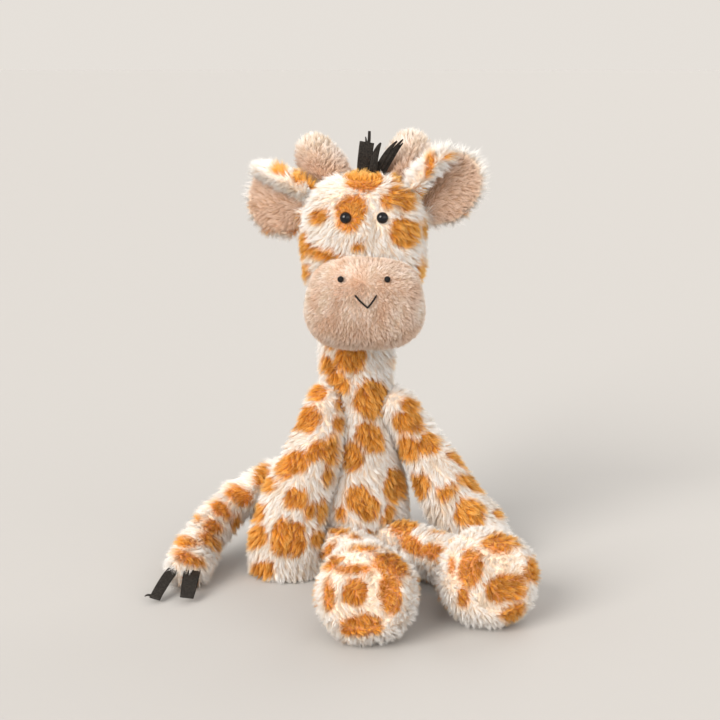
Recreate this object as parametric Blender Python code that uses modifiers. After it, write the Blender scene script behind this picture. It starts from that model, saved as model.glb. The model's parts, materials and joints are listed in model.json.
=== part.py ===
"""Seated plush giraffe, a sewn and stuffed toy, in metres with +Z up.

It faces -Y and sits on the plane z = 0, with the origin at the middle of the
sewn panel it sits on. Left and right are the sides seen from the front.
Every limb ends in a ball that lies in a socket of the larger piece it is
sewn to, and is cut back so that it can swing about that ball.
"""
import math

import bmesh
import bpy
from mathutils import Matrix, Vector
from mathutils.bvhtree import BVHTree

# Clearances and cutter overruns
SEAM_GAP = 0.0004
SWING_GAP = 0.0006
OVERRUN = 0.002
WELD_DISTANCE = 0.00001

# Body and neck, one pear shaped stuffed skin
BODY_RADIUS = 0.0315
NECK_RADIUS = 0.0205
NECK_HEIGHT = 0.160
BODY_PROFILE_SHARES = (
    (0.00, 0.545),
    (0.04, 0.864),
    (0.10, 1.000),
    (0.20, 0.955),
    (0.30, 0.773),
    (0.40, 0.500),
    (0.50, 0.245),
    (0.60, 0.064),
    (0.72, 0.000),
    (0.86, 0.020),
)
BODY_STEPS = 26
DOME_STEPS = 5
PANEL_STEPS = 24

# Sewn seat panel and the bean pouch above it
PANEL_RADIUS = 0.020
PANEL_THICKNESS = 0.0020
POUCH_RADIUS = 0.0115
POUCH_HALF_HEIGHT = 0.0122
POUCH_LIFT = 0.0150
POUCH_STEPS = 8

# Head: patterned crown and beige muzzle
CROWN_CENTRE = Vector((0.0045, -0.0060, 0.2030))
CROWN_HALF_SIZE = Vector((0.0353, 0.0345, 0.0400))
CROWN_SQUARENESS = 2.9
MUZZLE_CENTRE = Vector((0.0050, -0.0370, 0.1715))
MUZZLE_HALF_SIZE = Vector((0.0335, 0.0270, 0.0265))
MUZZLE_SQUARENESS = 2.8
MUZZLE_JOWL_SHARE = 0.12
THROAT_RADIUS = 0.0265
HEAD_SEGMENTS = 26
HEAD_RINGS = 14

# Eyes: dome, shank and the washer that locks the shank inside the head
EYE_RADIUS = 0.0031
EYE_DOME_HEIGHT = 0.0026
EYE_FLANGE = 0.0005
EYE_SHANK_RADIUS = 0.0011
EYE_SHANK_LENGTH = 0.0068
EYE_SPREAD = 0.0104
EYE_RISE_SHARE = 0.4375
EYE_STEPS = 14
WASHER_RADIUS = 0.0036
WASHER_THICKNESS = 0.0010
WASHER_DEPTH = 0.0042

# Nostril knots and the stitched smile
NOSTRIL_RADIUS = 0.0017
NOSTRIL_SPREAD = 0.0130
NOSTRIL_RISE_SHARE = 0.604
THREAD_RADIUS = 0.00045
SMILE_HALF_WIDTH = 0.0058
SMILE_TIP_OFFSET = 0.0010
SMILE_RISE_SHARE = 0.283
SMILE_DROP = 0.0062
SMILE_POINTS = 7

# Horns
HORN_RADIUS = 0.0115
HORN_ROOT_SPREAD = 0.0170
HORN_ROOT_DEPTH = 0.0045
HORN_ROOT_HEIGHT = 0.2330
HORN_TIP_SPREAD = 0.0288
HORN_TIP_DEPTH = 0.0100
HORN_TIP_HEIGHT = 0.2555
HORN_TIP_TILT = 0.0008
HORN_TIP_SHARE = 0.92
HORN_STEPS = 5

# Ears: a patterned back and a beige lining sewn rim to rim
EAR_LENGTH = 0.0500
EAR_WIDTH = 0.0390
EAR_BACK_THICKNESS = 0.0036
EAR_LINING_THICKNESS = 0.0026
EAR_LINING_SHARE = 0.90
EAR_LAYER_GAP = 0.0006
EAR_TAPER_SHARE = 0.08
LEFT_EAR_SHOULDER_SHARE = 0.70
RIGHT_EAR_SHOULDER_SHARE = 0.25
EAR_LOWER_CURL = 0.0050
EAR_UPPER_CURL = 0.0105
EAR_ROLL_RADIUS = 0.0044
EAR_ROLL_FORWARD = 0.0020
EAR_ROLL_STEPS = 9
EAR_ROLL_SHARES = (
    (-0.77, 0.95),
    (-0.50, 1.00),
    (-0.10, 0.90),
    (0.30, 0.66),
    (0.62, 0.38),
)
EAR_BALL_RADIUS = 0.0044
EAR_RISE_SHARE = 0.3875
EAR_DEPTH = -0.0040
EAR_STEM = -0.0035
EAR_ROOT_OUT = 0.0004
LEFT_EAR_LIFT = math.radians(18)
RIGHT_EAR_LIFT = math.radians(47)
LEFT_EAR_SWEEP = math.radians(36)
RIGHT_EAR_SWEEP = math.radians(8)

# Ribbons of the forelock and of the tail tip
RIBBON_THICKNESS = 0.0007
RIBBON_SEAT = 0.0030
RIBBON_SLIT_SHARE = 0.34
RIBBON_RAGGED_SHARE = 0.07
FORELOCK_WIDE = 0.0110
FORELOCK_NARROW = 0.0060
FORELOCK_LENGTH = 0.0250
FORELOCK_SIDE_LENGTH = 0.0245
FORELOCK_LEFT_X = 0.0062
FORELOCK_RIGHT_X = 0.0150
FORELOCK_DEPTH = -0.0130
FORELOCK_APART = 0.0034
FORELOCK_CURL = 0.0030
FORELOCK_LEFT_LEAN = math.radians(3)
FORELOCK_RIGHT_LEAN = math.radians(50)
TAIL_RIBBON_LENGTH = 0.0265
TAIL_RIBBON_WIDE = 0.0098
TAIL_RIBBON_NARROW = 0.0074
TAIL_LEFT_TURN = math.radians(-15)
TAIL_RIGHT_TURN = math.radians(4)
TAIL_RIBBON_APART = 0.0056
TAIL_RIBBON_HEIGHT = 0.0125
TAIL_RIBBON_DIP = math.radians(24)
TAIL_RIBBON_CURL = -0.0015

# Arms: shoulders, the places the hooves stand on, and the swell of each arm
SHOULDER_RADIUS = 0.0105
LEFT_SHOULDER = Vector((-0.0180, -0.0140, 0.1050))
LEFT_HOOF = Vector((-0.0420, -0.0265, 0.0))
RIGHT_SHOULDER = Vector((0.0245, -0.0080, 0.1010))
RIGHT_HOOF = Vector((0.0770, -0.0050, 0.0))
LEFT_HOOF_RADIUS = 0.0225
RIGHT_HOOF_RADIUS = 0.0200
LEFT_ARM_SHARES = (
    (0.00, 0.00, 0.00, 0.00),
    (0.22, 0.23, 0.75, 0.29),
    (0.40, 0.55, 0.90, 0.52),
    (0.58, 0.83, 0.96, 0.74),
    (0.78, 0.97, 1.00, 1.00),
    (0.92, 1.00, 1.00, 0.97),
    (1.04, 1.00, 1.00, 0.88),
)
RIGHT_ARM_SHARES = (
    (0.00, 0.00, 0.00, 0.00),
    (0.26, 0.31, 0.20, 0.16),
    (0.44, 0.51, 0.40, 0.47),
    (0.63, 0.70, 0.60, 0.74),
    (0.80, 0.91, 0.86, 1.00),
    (0.92, 1.00, 1.00, 0.97),
    (1.04, 1.00, 1.00, 0.85),
)
PAD_RADIUS = 0.0150
PAD_THICKNESS = 0.0020

# Legs: hips, direction of each leg, thigh, ankle and foot
HIP_RADIUS = 0.0140
THIGH_RADIUS = 0.0138
ANKLE_RADIUS = 0.0138
FOOT_RADIUS = 0.0266
FOOT_FLAT = 0.0005
FOOT_TILT = math.radians(20)
LEG_LENGTH = 0.1235
LEFT_HIP = Vector((-0.0103, -0.0290, 0.0162))
RIGHT_HIP = Vector((0.0190, -0.0210, 0.0162))
LEFT_LEG_HEADINGS = (math.radians(34), math.radians(-7))
RIGHT_LEG_HEADINGS = (math.radians(60), math.radians(15))
SHIN_STEPS = 6
FOOT_STEPS = 9
SOLE_RADIUS = 0.0198
SOLE_THICKNESS = 0.0022
SOLE_CROWN = 0.0014
SOLE_RIM = 0.0022
SOLE_CROWN_STEPS = 4

# Tail
TAIL_ROOT = Vector((-0.0108, 0.0270, 0.0460))
TAIL_BALL_RADIUS = 0.0088
TAIL_RADIUS = 0.0086
TAIL_TIP_RADIUS = 0.0110
TAIL_TIP = Vector((-0.1015, -0.0500, 0.0118))
TAIL_PATH_SHARES = (
    (0.00, 0.00, 0.00),
    (0.26, -0.02, -0.04),
    (0.55, 0.17, 0.08),
    (0.79, 0.36, 0.43),
    (0.94, 0.66, 0.82),
    (1.00, 1.00, 1.00),
)
TAIL_SWELL_SHARES = (1.00, 1.05, 1.09, 1.12, 1.20, 1.28)

# Limb and ball facets
LIMB_SIDES = 6
PATH_COUNT = 10
CAP_COUNT = 3
CAP_TURN = math.radians(80)
BALL_SEGMENTS = 16
BALL_RINGS = 8
SMALL_RINGS = 7
SHARP_TURN = math.radians(35)

# Swings that the cut backs leave room for, in degrees from rest
LEG_SWINGS = (-45.0, -30.0, -15.0, 12.0, 25.0)
THIGH_SWINGS = (0.0, 8.0, 16.0, 25.0)
NOD_SWINGS = (-12.0, 7.0, 13.0, 19.0, 25.0)
EAR_SWINGS = (-30.0, -15.0, 5.0)
TAIL_SWINGS = (-90.0, -45.0)
ARM_SWINGS = (45.0, 90.0)

FUR_CREAM = (0.86, 0.79, 0.70)
FUR_BEIGE = (0.60, 0.43, 0.32)
FUR_ORANGE = (0.66, 0.30, 0.09)
RIBBON_BLACK = (0.02, 0.016, 0.014)
PLASTIC_BLACK = (0.008, 0.008, 0.009)
THREAD_BLACK = (0.02, 0.02, 0.024)
NYLON_WHITE = (0.78, 0.78, 0.76)
POUCH_WHITE = (0.70, 0.68, 0.62)


def clear_scene():
    """Remove every object that the file opened with."""
    for old in list(bpy.data.objects):
        bpy.data.objects.remove(old, do_unlink=True)


def make_collection(name):
    """A new collection linked to the scene."""
    collection = bpy.data.collections.new(name)
    bpy.context.scene.collection.children.link(collection)
    return collection


def make_material(name, colour, roughness, metallic=0.0):
    """A Principled material of one colour."""
    material = bpy.data.materials.new(name)
    material.use_nodes = True
    shader = material.node_tree.nodes["Principled BSDF"]
    shader.inputs["Base Color"].default_value = (*colour, 1.0)
    shader.inputs["Roughness"].default_value = roughness
    shader.inputs["Metallic"].default_value = metallic
    material.diffuse_color = (*colour, 1.0)
    return material


class Workshop:
    """The collections that pieces and cutters go to, and the root empty."""

    def __init__(self):
        self.parts = make_collection("plush_giraffe")
        self.cutters = make_collection("cutters")
        self.materials = {
            "patterned": make_material("patterned_plush", FUR_CREAM, 0.95),
            "tail": make_material("tail_plush", FUR_ORANGE, 0.95),
            "beige": make_material("beige_plush", FUR_BEIGE, 0.95),
            "ribbon": make_material("black_ribbon", RIBBON_BLACK, 0.45),
            "plastic": make_material("black_plastic", PLASTIC_BLACK, 0.12),
            "thread": make_material("black_thread", THREAD_BLACK, 0.7),
            "nylon": make_material("white_nylon", NYLON_WHITE, 0.4),
            "pouch": make_material("pouch_cloth", POUCH_WHITE, 0.9),
        }

    def pivot(self, name, place, carrier=None):
        """An empty on a joint's axis, for the pieces that swing about it."""
        empty = bpy.data.objects.new(name, None)
        empty.location = place
        if carrier is not None:
            empty.parent = carrier
            empty.location = place - carrier.location
        empty.empty_display_size = SHOULDER_RADIUS
        self.parts.objects.link(empty)
        return empty

    def piece(self, name, mesh, material, pivot=None):
        """A named piece whose mesh is given in world places."""
        obj = bpy.data.objects.new(name, mesh)
        obj.data.materials.clear()
        obj.data.materials.append(self.materials[material])
        self.parts.objects.link(obj)
        if pivot is not None:
            place = pivot.location.copy()
            if pivot.parent is not None:
                place += pivot.parent.location
            mesh.transform(Matrix.Translation(-place))
            obj.parent = pivot
        obj.data.shade_smooth()
        obj.data.set_sharp_from_angle(angle=SHARP_TURN)
        return obj

    def cutter(self, name, mesh, matrix=None):
        """A wire object that only cuts or joins."""
        obj = bpy.data.objects.new(name, mesh)
        if matrix is not None:
            obj.matrix_world = matrix
        obj.hide_render = True
        obj.display_type = "WIRE"
        self.cutters.objects.link(obj)
        return obj


def combine(obj, cutter, operation="DIFFERENCE", solver="EXACT"):
    """Add a live Boolean."""
    step = obj.modifiers.new(cutter.name, "BOOLEAN")
    step.object = cutter
    step.operation = operation
    step.solver = solver


def evaluated_mesh(obj):
    """The mesh of an object with its modifiers applied, in world places."""
    bpy.context.view_layer.update()
    graph = bpy.context.evaluated_depsgraph_get()
    mesh = bpy.data.meshes.new_from_object(obj.evaluated_get(graph))
    mesh.transform(obj.matrix_world)
    return mesh


def weld(mesh):
    """Close loose caps and point the faces outwards."""
    work = bmesh.new()
    work.from_mesh(mesh)
    bmesh.ops.remove_doubles(work, verts=work.verts, dist=WELD_DISTANCE)
    bmesh.ops.recalc_face_normals(work, faces=work.faces)
    work.to_mesh(mesh)
    work.free()
    return mesh


def turned_mesh(name, profile, steps, matrix=None):
    """Turn a profile of (radius, height) pairs, listed top to bottom."""
    mesh = bpy.data.meshes.new(name)
    points = [(radius, 0.0, height) for radius, height in profile]
    mesh.from_pydata(points, [(i, i + 1) for i in range(len(points) - 1)], [])
    obj = bpy.data.objects.new(name, mesh)
    bpy.context.scene.collection.objects.link(obj)
    screw = obj.modifiers.new("turn", "SCREW")
    screw.steps = steps
    screw.render_steps = steps
    screw.use_merge_vertices = True
    screw.merge_threshold = WELD_DISTANCE
    turned = weld(evaluated_mesh(obj))
    bpy.data.objects.remove(obj)
    if matrix is not None:
        turned.transform(matrix)
    return turned


def ball_mesh(name, centre, radius, segments=BALL_SEGMENTS, rings=BALL_RINGS):
    """A sphere."""
    work = bmesh.new()
    bmesh.ops.create_uvsphere(work, u_segments=segments, v_segments=rings, radius=radius)
    bmesh.ops.translate(work, verts=work.verts, vec=centre)
    mesh = bpy.data.meshes.new(name)
    work.to_mesh(mesh)
    work.free()
    return mesh


def plump_mesh(name, centre, half_size, squareness, jowl_share=0.0, grow=0.0):
    """A sphere swollen towards a box, wider below by the jowl share.

    Each unit point is divided by the length of its coordinates in the power
    norm of the squareness, and then scaled by the half sizes.
    """
    work = bmesh.new()
    bmesh.ops.create_uvsphere(
        work, u_segments=HEAD_SEGMENTS, v_segments=HEAD_RINGS, radius=1.0)
    size = Vector(half_size) + Vector((grow, grow, grow))
    for vert in work.verts:
        x, y, z = vert.co
        norm = sum(abs(part) ** squareness for part in (x, y, z)) ** (1.0 / squareness)
        point = vert.co / norm
        wide = 1.0 - jowl_share * point.z * (1.0 - point.z * point.z)
        vert.co = centre + Vector(
            (point.x * size.x * wide, point.y * size.y, point.z * size.z))
    mesh = bpy.data.meshes.new(name)
    work.to_mesh(mesh)
    work.free()
    return mesh


def smooth_points(points, count):
    """Points of a smooth curve through the given ones, ends kept."""
    spans = len(points) - 1
    smooth = []
    for i in range(count):
        place = spans * i / (count - 1)
        k = min(int(place), spans - 1)
        t = place - k
        before = points[max(k - 1, 0)]
        first = points[k]
        second = points[k + 1]
        after = points[min(k + 2, spans)]
        smooth.append(0.5 * (
            2.0 * first
            + (second - before) * t
            + (2.0 * before - 5.0 * first + 4.0 * second - after) * t * t
            + (3.0 * first - before - 3.0 * second + after) * t * t * t))
    return smooth


def limb_mesh(name, points, radii, count=PATH_COUNT, end_share=1.0, grow=0.0):
    """A stuffed tube along a smooth path, with rounded ends.

    The radii follow the same smooth curve as the points. The last end is
    rounded over a share of its radius.
    """
    packed = [Vector((*point, radius)) for point, radius in zip(points, radii)]
    smooth = smooth_points(packed, count)
    places = [value.xyz for value in smooth]
    widths = [value.w + grow for value in smooth]
    for end, toward, share in ((0, 1, 1.0), (-1, -2, end_share)):
        out = (places[end] - places[toward]).normalized()
        reach = widths[end] * share
        tip = places[end].copy()
        width = widths[end]
        caps = []
        for i in range(1, CAP_COUNT + 1):
            angle = CAP_TURN * i / CAP_COUNT
            caps.append((tip + out * reach * math.sin(angle), width * math.cos(angle)))
        if end == 0:
            places = [place for place, _ in reversed(caps)] + places
            widths = [value for _, value in reversed(caps)] + widths
        else:
            places += [place for place, _ in caps]
            widths += [value for _, value in caps]
    return tube_mesh(name, places, widths, LIMB_SIDES)


def tube_mesh(name, places, widths, resolution):
    """A closed tube of the given radii, one for each place."""
    curve = bpy.data.curves.new(name, "CURVE")
    curve.dimensions = "3D"
    curve.bevel_depth = 1.0
    curve.bevel_resolution = resolution
    curve.use_fill_caps = True
    spline = curve.splines.new("POLY")
    spline.points.add(len(places) - 1)
    for point, place, width in zip(spline.points, places, widths):
        point.co = (*place, 1.0)
        point.radius = width
    obj = bpy.data.objects.new(name, curve)
    bpy.context.scene.collection.objects.link(obj)
    mesh = weld(evaluated_mesh(obj))
    bpy.data.objects.remove(obj)
    return mesh


def turn_about(place, axis, degrees):
    """The matrix that turns the world about an axis through a place."""
    turn = Matrix.Rotation(math.radians(degrees), 4, axis)
    return Matrix.Translation(place) @ turn @ Matrix.Translation(-place)


def seat_limb(shop, obj, blocker, pivot, axis, swings, ball_radius):
    """Cut a limb clear of its neighbour over its swing and add its root ball.

    The blocker is the neighbour's mesh, grown by the swing gap. Turned back
    about the joint's axis by each swing, it stands where the limb meets it.
    """
    for swing in (0.0, *swings):
        back = turn_about(pivot, axis, -swing)
        name = "clear_{}_{:.0f}".format(obj.name, swing)
        combine(obj, shop.cutter(name, blocker, back))
    ball = ball_mesh("ball_" + obj.name, pivot, ball_radius)
    combine(obj, shop.cutter("ball_" + obj.name, ball), "UNION")


def socket(shop, obj, name, pivot, ball_radius):
    """Cut the round seat of a limb's root ball."""
    hollow = ball_mesh("socket_" + name, pivot, ball_radius + SWING_GAP)
    combine(obj, shop.cutter("socket_" + name, hollow))


def surface_hit(mesh, x, z):
    """The front point and normal of a mesh at a place seen from the front."""
    tree = BVHTree.FromPolygons(
        [vert.co for vert in mesh.vertices], [face.vertices for face in mesh.polygons])
    front = min(vert.co.y for vert in mesh.vertices) - OVERRUN
    place, normal, _, _ = tree.ray_cast(Vector((x, front, z)), Vector((0.0, 1.0, 0.0)))
    return place, normal


def facing(place, normal):
    """A matrix at a place with its z along a normal."""
    turn = normal.to_track_quat("Z", "Y").to_matrix().to_4x4()
    return Matrix.Translation(place) @ turn


def body_profile(grow=0.0):
    """The turned outline of body, neck and the dome that the head nods on."""
    dome = []
    for i in range(DOME_STEPS + 1):
        angle = math.pi / 2 * i / DOME_STEPS
        radius = NECK_RADIUS + grow
        dome.append((radius * math.sin(angle), NECK_HEIGHT + radius * math.cos(angle)))
    side = []
    for height, share in reversed(BODY_PROFILE_SHARES):
        radius = NECK_RADIUS + share * (BODY_RADIUS - NECK_RADIUS) + grow
        side.append((radius, height * NECK_HEIGHT - (grow if height == 0.0 else 0.0)))
    return dome + side + [(0.0, side[-1][1])]


def pouch_profile(grow=0.0):
    """Half an ellipse, from the top of the bean pouch to its underside."""
    profile = []
    for i in range(POUCH_STEPS + 1):
        angle = math.pi * i / POUCH_STEPS
        profile.append(((POUCH_RADIUS + grow) * math.sin(angle),
                        POUCH_LIFT + (POUCH_HALF_HEIGHT + grow) * math.cos(angle)))
    profile[0] = (0.0, profile[0][1])
    profile[-1] = (0.0, profile[-1][1])
    return profile


def make_body(shop, limbs):
    """Body and neck, the seat panel and the bean pouch."""
    body = shop.piece(
        "torso", turned_mesh("torso", body_profile(), BODY_STEPS), "patterned")
    top = PANEL_THICKNESS + SEAM_GAP
    wide = PANEL_RADIUS + SEAM_GAP
    hollow = [point for point in pouch_profile(SEAM_GAP) if point[1] > top]
    hollow += [(hollow[-1][0], top), (wide, top), (wide, -OVERRUN), (0.0, -OVERRUN)]
    combine(body, shop.cutter("seat_hollow", turned_mesh("hollow", hollow, PANEL_STEPS)))
    for name, (pivot, ball_radius) in limbs.items():
        socket(shop, body, name, pivot, ball_radius)
    panel = [
        (0.0, PANEL_THICKNESS),
        (PANEL_RADIUS, PANEL_THICKNESS),
        (PANEL_RADIUS, 0.0),
        (0.0, 0.0),
    ]
    shop.piece("seat_panel", turned_mesh("seat_panel", panel, PANEL_STEPS), "patterned")
    pouch = turned_mesh("bean_pouch", pouch_profile(), PANEL_STEPS)
    shop.piece("bean_pouch", pouch, "pouch")
    return body


def box_mesh(name, low, high):
    """A box between two corners."""
    work = bmesh.new()
    bmesh.ops.create_cube(work, size=1.0)
    bmesh.ops.scale(work, verts=work.verts, vec=high - low)
    bmesh.ops.translate(work, verts=work.verts, vec=(low + high) / 2)
    mesh = bpy.data.meshes.new(name)
    work.to_mesh(mesh)
    work.free()
    return mesh


def make_arm(shop, side, shoulder, hoof, hoof_radius, shares, axis, blocker):
    """A stuffed arm that stands on its round end panel."""
    pivot = shop.pivot("shoulder_pivot_" + side, shoulder)
    points = []
    radii = []
    span = hoof - shoulder
    for down, across, ahead, swell in shares:
        points.append(shoulder + Vector((span.x * across, span.y * ahead, span.z * down)))
        radii.append(SHOULDER_RADIUS + swell * (hoof_radius - SHOULDER_RADIUS))
    mesh = limb_mesh("arm_" + side, points, radii, end_share=FOOT_FLAT / hoof_radius)
    arm = shop.piece("arm_" + side, mesh, "patterned")
    seat_limb(shop, arm, blocker, shoulder, axis, ARM_SWINGS, SHOULDER_RADIUS)
    combine(arm, shop.floor)
    cut = [
        (0.0, PAD_THICKNESS + SEAM_GAP),
        (PAD_RADIUS + SEAM_GAP, PAD_THICKNESS + SEAM_GAP),
        (PAD_RADIUS + SEAM_GAP, -OVERRUN),
        (0.0, -OVERRUN),
    ]
    place = Matrix.Translation(hoof)
    recess = turned_mesh("pad_recess_" + side, cut, BALL_SEGMENTS, place)
    combine(arm, shop.cutter("pad_recess_" + side, recess))
    disc = [
        (0.0, PAD_THICKNESS),
        (PAD_RADIUS, PAD_THICKNESS),
        (PAD_RADIUS, 0.0),
        (0.0, 0.0),
    ]
    shop.piece("arm_pad_" + side, turned_mesh("pad", disc, BALL_SEGMENTS, place),
               "patterned", pivot)
    return arm


def leg_outline(hip, headings, grow=0.0):
    """Centre line and radii of a leg that bends towards its ball shaped foot.

    The shin's heading turns evenly from the hip to the ankle. The foot's
    centre line is straight and tilted up, and its radius follows the circle
    of the foot about its centre.
    """
    sole_at = math.sqrt(FOOT_RADIUS ** 2 - SOLE_RADIUS ** 2)
    ankle_at = math.sqrt(FOOT_RADIUS ** 2 - ANKLE_RADIUS ** 2)
    shin = LEG_LENGTH - sole_at - ankle_at
    start, end = headings
    tilt = math.sin(FOOT_TILT)
    ankle_height = FOOT_RADIUS - FOOT_FLAT - ankle_at * tilt
    points = [hip.copy()]
    radii = [THIGH_RADIUS + grow]
    for i in range(SHIN_STEPS):
        heading = start + (end - start) * (i + 0.5) / SHIN_STEPS
        step = shin / SHIN_STEPS
        rise = (ankle_height - hip.z) / SHIN_STEPS
        points.append(points[-1] + Vector(
            (step * math.sin(heading), -step * math.cos(heading), rise)))
        share = (i + 1) / SHIN_STEPS
        radii.append(THIGH_RADIUS + (ANKLE_RADIUS - THIGH_RADIUS) * share + grow)
    flat = math.cos(FOOT_TILT)
    along = Vector((math.sin(end) * flat, -math.cos(end) * flat, tilt))
    ankle = points[-1].copy()
    for i in range(1, FOOT_STEPS + 1):
        reach = (ankle_at + sole_at) * i / FOOT_STEPS
        points.append(ankle + along * reach)
        radii.append(math.sqrt(FOOT_RADIUS ** 2 - (reach - ankle_at) ** 2) + grow)
    return points, radii, along


def make_leg(shop, side, hip, headings, blocker):
    """A stuffed leg with a round foot and its sewn sole."""
    pivot = shop.pivot("hip_pivot_" + side, hip)
    points, radii, along = leg_outline(hip, headings)
    mesh = tube_mesh("leg_" + side, points, radii, LIMB_SIDES)
    leg = shop.piece("leg_" + side, mesh, "patterned")
    seat_limb(shop, leg, blocker, hip, Vector((-1.0, 0.0, 0.0)), LEG_SWINGS, HIP_RADIUS)
    combine(leg, shop.floor)
    centre = points[-1]
    place = facing(centre, along)
    cut = [
        (0.0, OVERRUN),
        (SOLE_RADIUS - SOLE_RIM + SEAM_GAP, OVERRUN),
        (SOLE_RADIUS - SOLE_RIM + SEAM_GAP, -SOLE_THICKNESS - SEAM_GAP),
        (0.0, -SOLE_THICKNESS - SEAM_GAP),
    ]
    recess = turned_mesh("sole_recess_" + side, cut, BODY_STEPS, place)
    combine(leg, shop.cutter("sole_recess_" + side, recess))
    disc = [(0.0, SOLE_CROWN)]
    for i in range(1, SOLE_CROWN_STEPS):
        share = i / SOLE_CROWN_STEPS
        disc.append(((SOLE_RADIUS - SOLE_RIM) * share, SOLE_CROWN * (1.0 - share * share)))
    disc += [
        (SOLE_RADIUS - SOLE_RIM, 0.0),
        (SOLE_RADIUS - SOLE_RIM, -SOLE_THICKNESS),
        (0.0, -SOLE_THICKNESS),
    ]
    shop.piece("sole_" + side, turned_mesh("sole", disc, BODY_STEPS, place),
               "patterned", pivot)
    return leg


def cut_back(shop, obj, mesh, name):
    """Cut a fixed piece clear of the larger one behind it."""
    combine(obj, shop.cutter(name, mesh))


def make_eye(shop, side, sign, crown, crown_mesh):
    """A safety eye and its washer, and the bore and pocket they sit in."""
    x = CROWN_CENTRE.x + sign * EYE_SPREAD
    z = CROWN_CENTRE.z + EYE_RISE_SHARE * CROWN_HALF_SIZE.z
    place, normal = surface_hit(crown_mesh, x, z)
    frame = facing(place + normal * SEAM_GAP, normal)
    outline = []
    for i in range(DOME_STEPS + 1):
        angle = math.pi / 2 * i / DOME_STEPS
        outline.append((EYE_RADIUS * math.sin(angle),
                        EYE_FLANGE + EYE_DOME_HEIGHT * math.cos(angle)))
    outline += [
        (EYE_RADIUS, 0.0),
        (EYE_SHANK_RADIUS, 0.0),
        (EYE_SHANK_RADIUS, -EYE_SHANK_LENGTH),
        (0.0, -EYE_SHANK_LENGTH),
    ]
    shop.piece("eye_" + side, turned_mesh("eye", outline, EYE_STEPS, frame), "plastic",
               shop.nod)
    bore_radius = EYE_SHANK_RADIUS + SEAM_GAP
    top = -WASHER_DEPTH
    low = top - WASHER_THICKNESS
    ring = [
        (bore_radius, top),
        (WASHER_RADIUS, top),
        (WASHER_RADIUS, low),
        (bore_radius, low),
        (bore_radius, top),
    ]
    shop.piece("eye_washer_" + side, turned_mesh("washer", ring, EYE_STEPS, frame), "nylon",
               shop.nod)
    pocket_radius = WASHER_RADIUS + SEAM_GAP
    hollow = [
        (0.0, OVERRUN),
        (bore_radius, OVERRUN),
        (bore_radius, top + SEAM_GAP),
        (pocket_radius, top + SEAM_GAP),
        (pocket_radius, low - SEAM_GAP),
        (bore_radius, low - SEAM_GAP),
        (bore_radius, -EYE_SHANK_LENGTH - SEAM_GAP),
        (0.0, -EYE_SHANK_LENGTH - SEAM_GAP),
    ]
    cutter = shop.cutter("eye_bore_" + side, turned_mesh("bore", hollow, EYE_STEPS, frame))
    combine(crown, cutter)


def clear_neck(shop, obj, blocker):
    """Cut a piece of the head clear of the neck over the whole nod."""
    middle = Vector((0.0, 0.0, NECK_HEIGHT))
    for swing in (0.0, *NOD_SWINGS):
        back = turn_about(middle, Vector((1.0, 0.0, 0.0)), -swing)
        name = "neck_{}_{:.0f}".format(obj.name, swing)
        combine(obj, shop.cutter(name, blocker, back))


def make_muzzle(shop, blocker):
    """The beige muzzle, its nostril knots and the stitched smile."""
    mesh = plump_mesh(
        "muzzle", MUZZLE_CENTRE, MUZZLE_HALF_SIZE, MUZZLE_SQUARENESS, MUZZLE_JOWL_SHARE)
    whole = mesh.copy()
    muzzle = shop.piece("muzzle", mesh, "beige", shop.nod)
    crown = plump_mesh(
        "crown_grown", CROWN_CENTRE, CROWN_HALF_SIZE, CROWN_SQUARENESS, grow=SEAM_GAP)
    cut_back(shop, muzzle, crown, "crown_behind_muzzle")
    throat = ball_mesh("throat", Vector((0.0, 0.0, NECK_HEIGHT)), THROAT_RADIUS,
                       HEAD_SEGMENTS, HEAD_RINGS)
    cut_back(shop, muzzle, throat, "throat")
    clear_neck(shop, muzzle, blocker)
    for side, sign in (("left", -1.0), ("right", 1.0)):
        x = CROWN_CENTRE.x + sign * NOSTRIL_SPREAD
        z = MUZZLE_CENTRE.z + NOSTRIL_RISE_SHARE * MUZZLE_HALF_SIZE.z
        place, _ = surface_hit(whole, x, z)
        knot = ball_mesh("nostril_" + side, place, NOSTRIL_RADIUS,
                         EYE_STEPS, SMALL_RINGS)
        shop.piece("nostril_" + side, knot, "thread", shop.nod)
        seat = ball_mesh("nostril_seat_" + side, place, NOSTRIL_RADIUS + SEAM_GAP,
                         EYE_STEPS, SMALL_RINGS)
        cut_back(shop, muzzle, seat, "nostril_seat_" + side)
    places = []
    for i in range(SMILE_POINTS):
        share = 2.0 * i / (SMILE_POINTS - 1) - 1.0
        x = CROWN_CENTRE.x + SMILE_TIP_OFFSET + share * SMILE_HALF_WIDTH
        top = MUZZLE_CENTRE.z + SMILE_RISE_SHARE * MUZZLE_HALF_SIZE.z
        z = top - SMILE_DROP * (1.0 - abs(share))
        place, normal = surface_hit(whole, x, z)
        places.append(place + normal * (THREAD_RADIUS + SEAM_GAP))
    thread = tube_mesh("smile_stitch", places, [THREAD_RADIUS] * SMILE_POINTS, 1)
    shop.piece("smile_stitch", thread, "thread", shop.nod)


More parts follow.
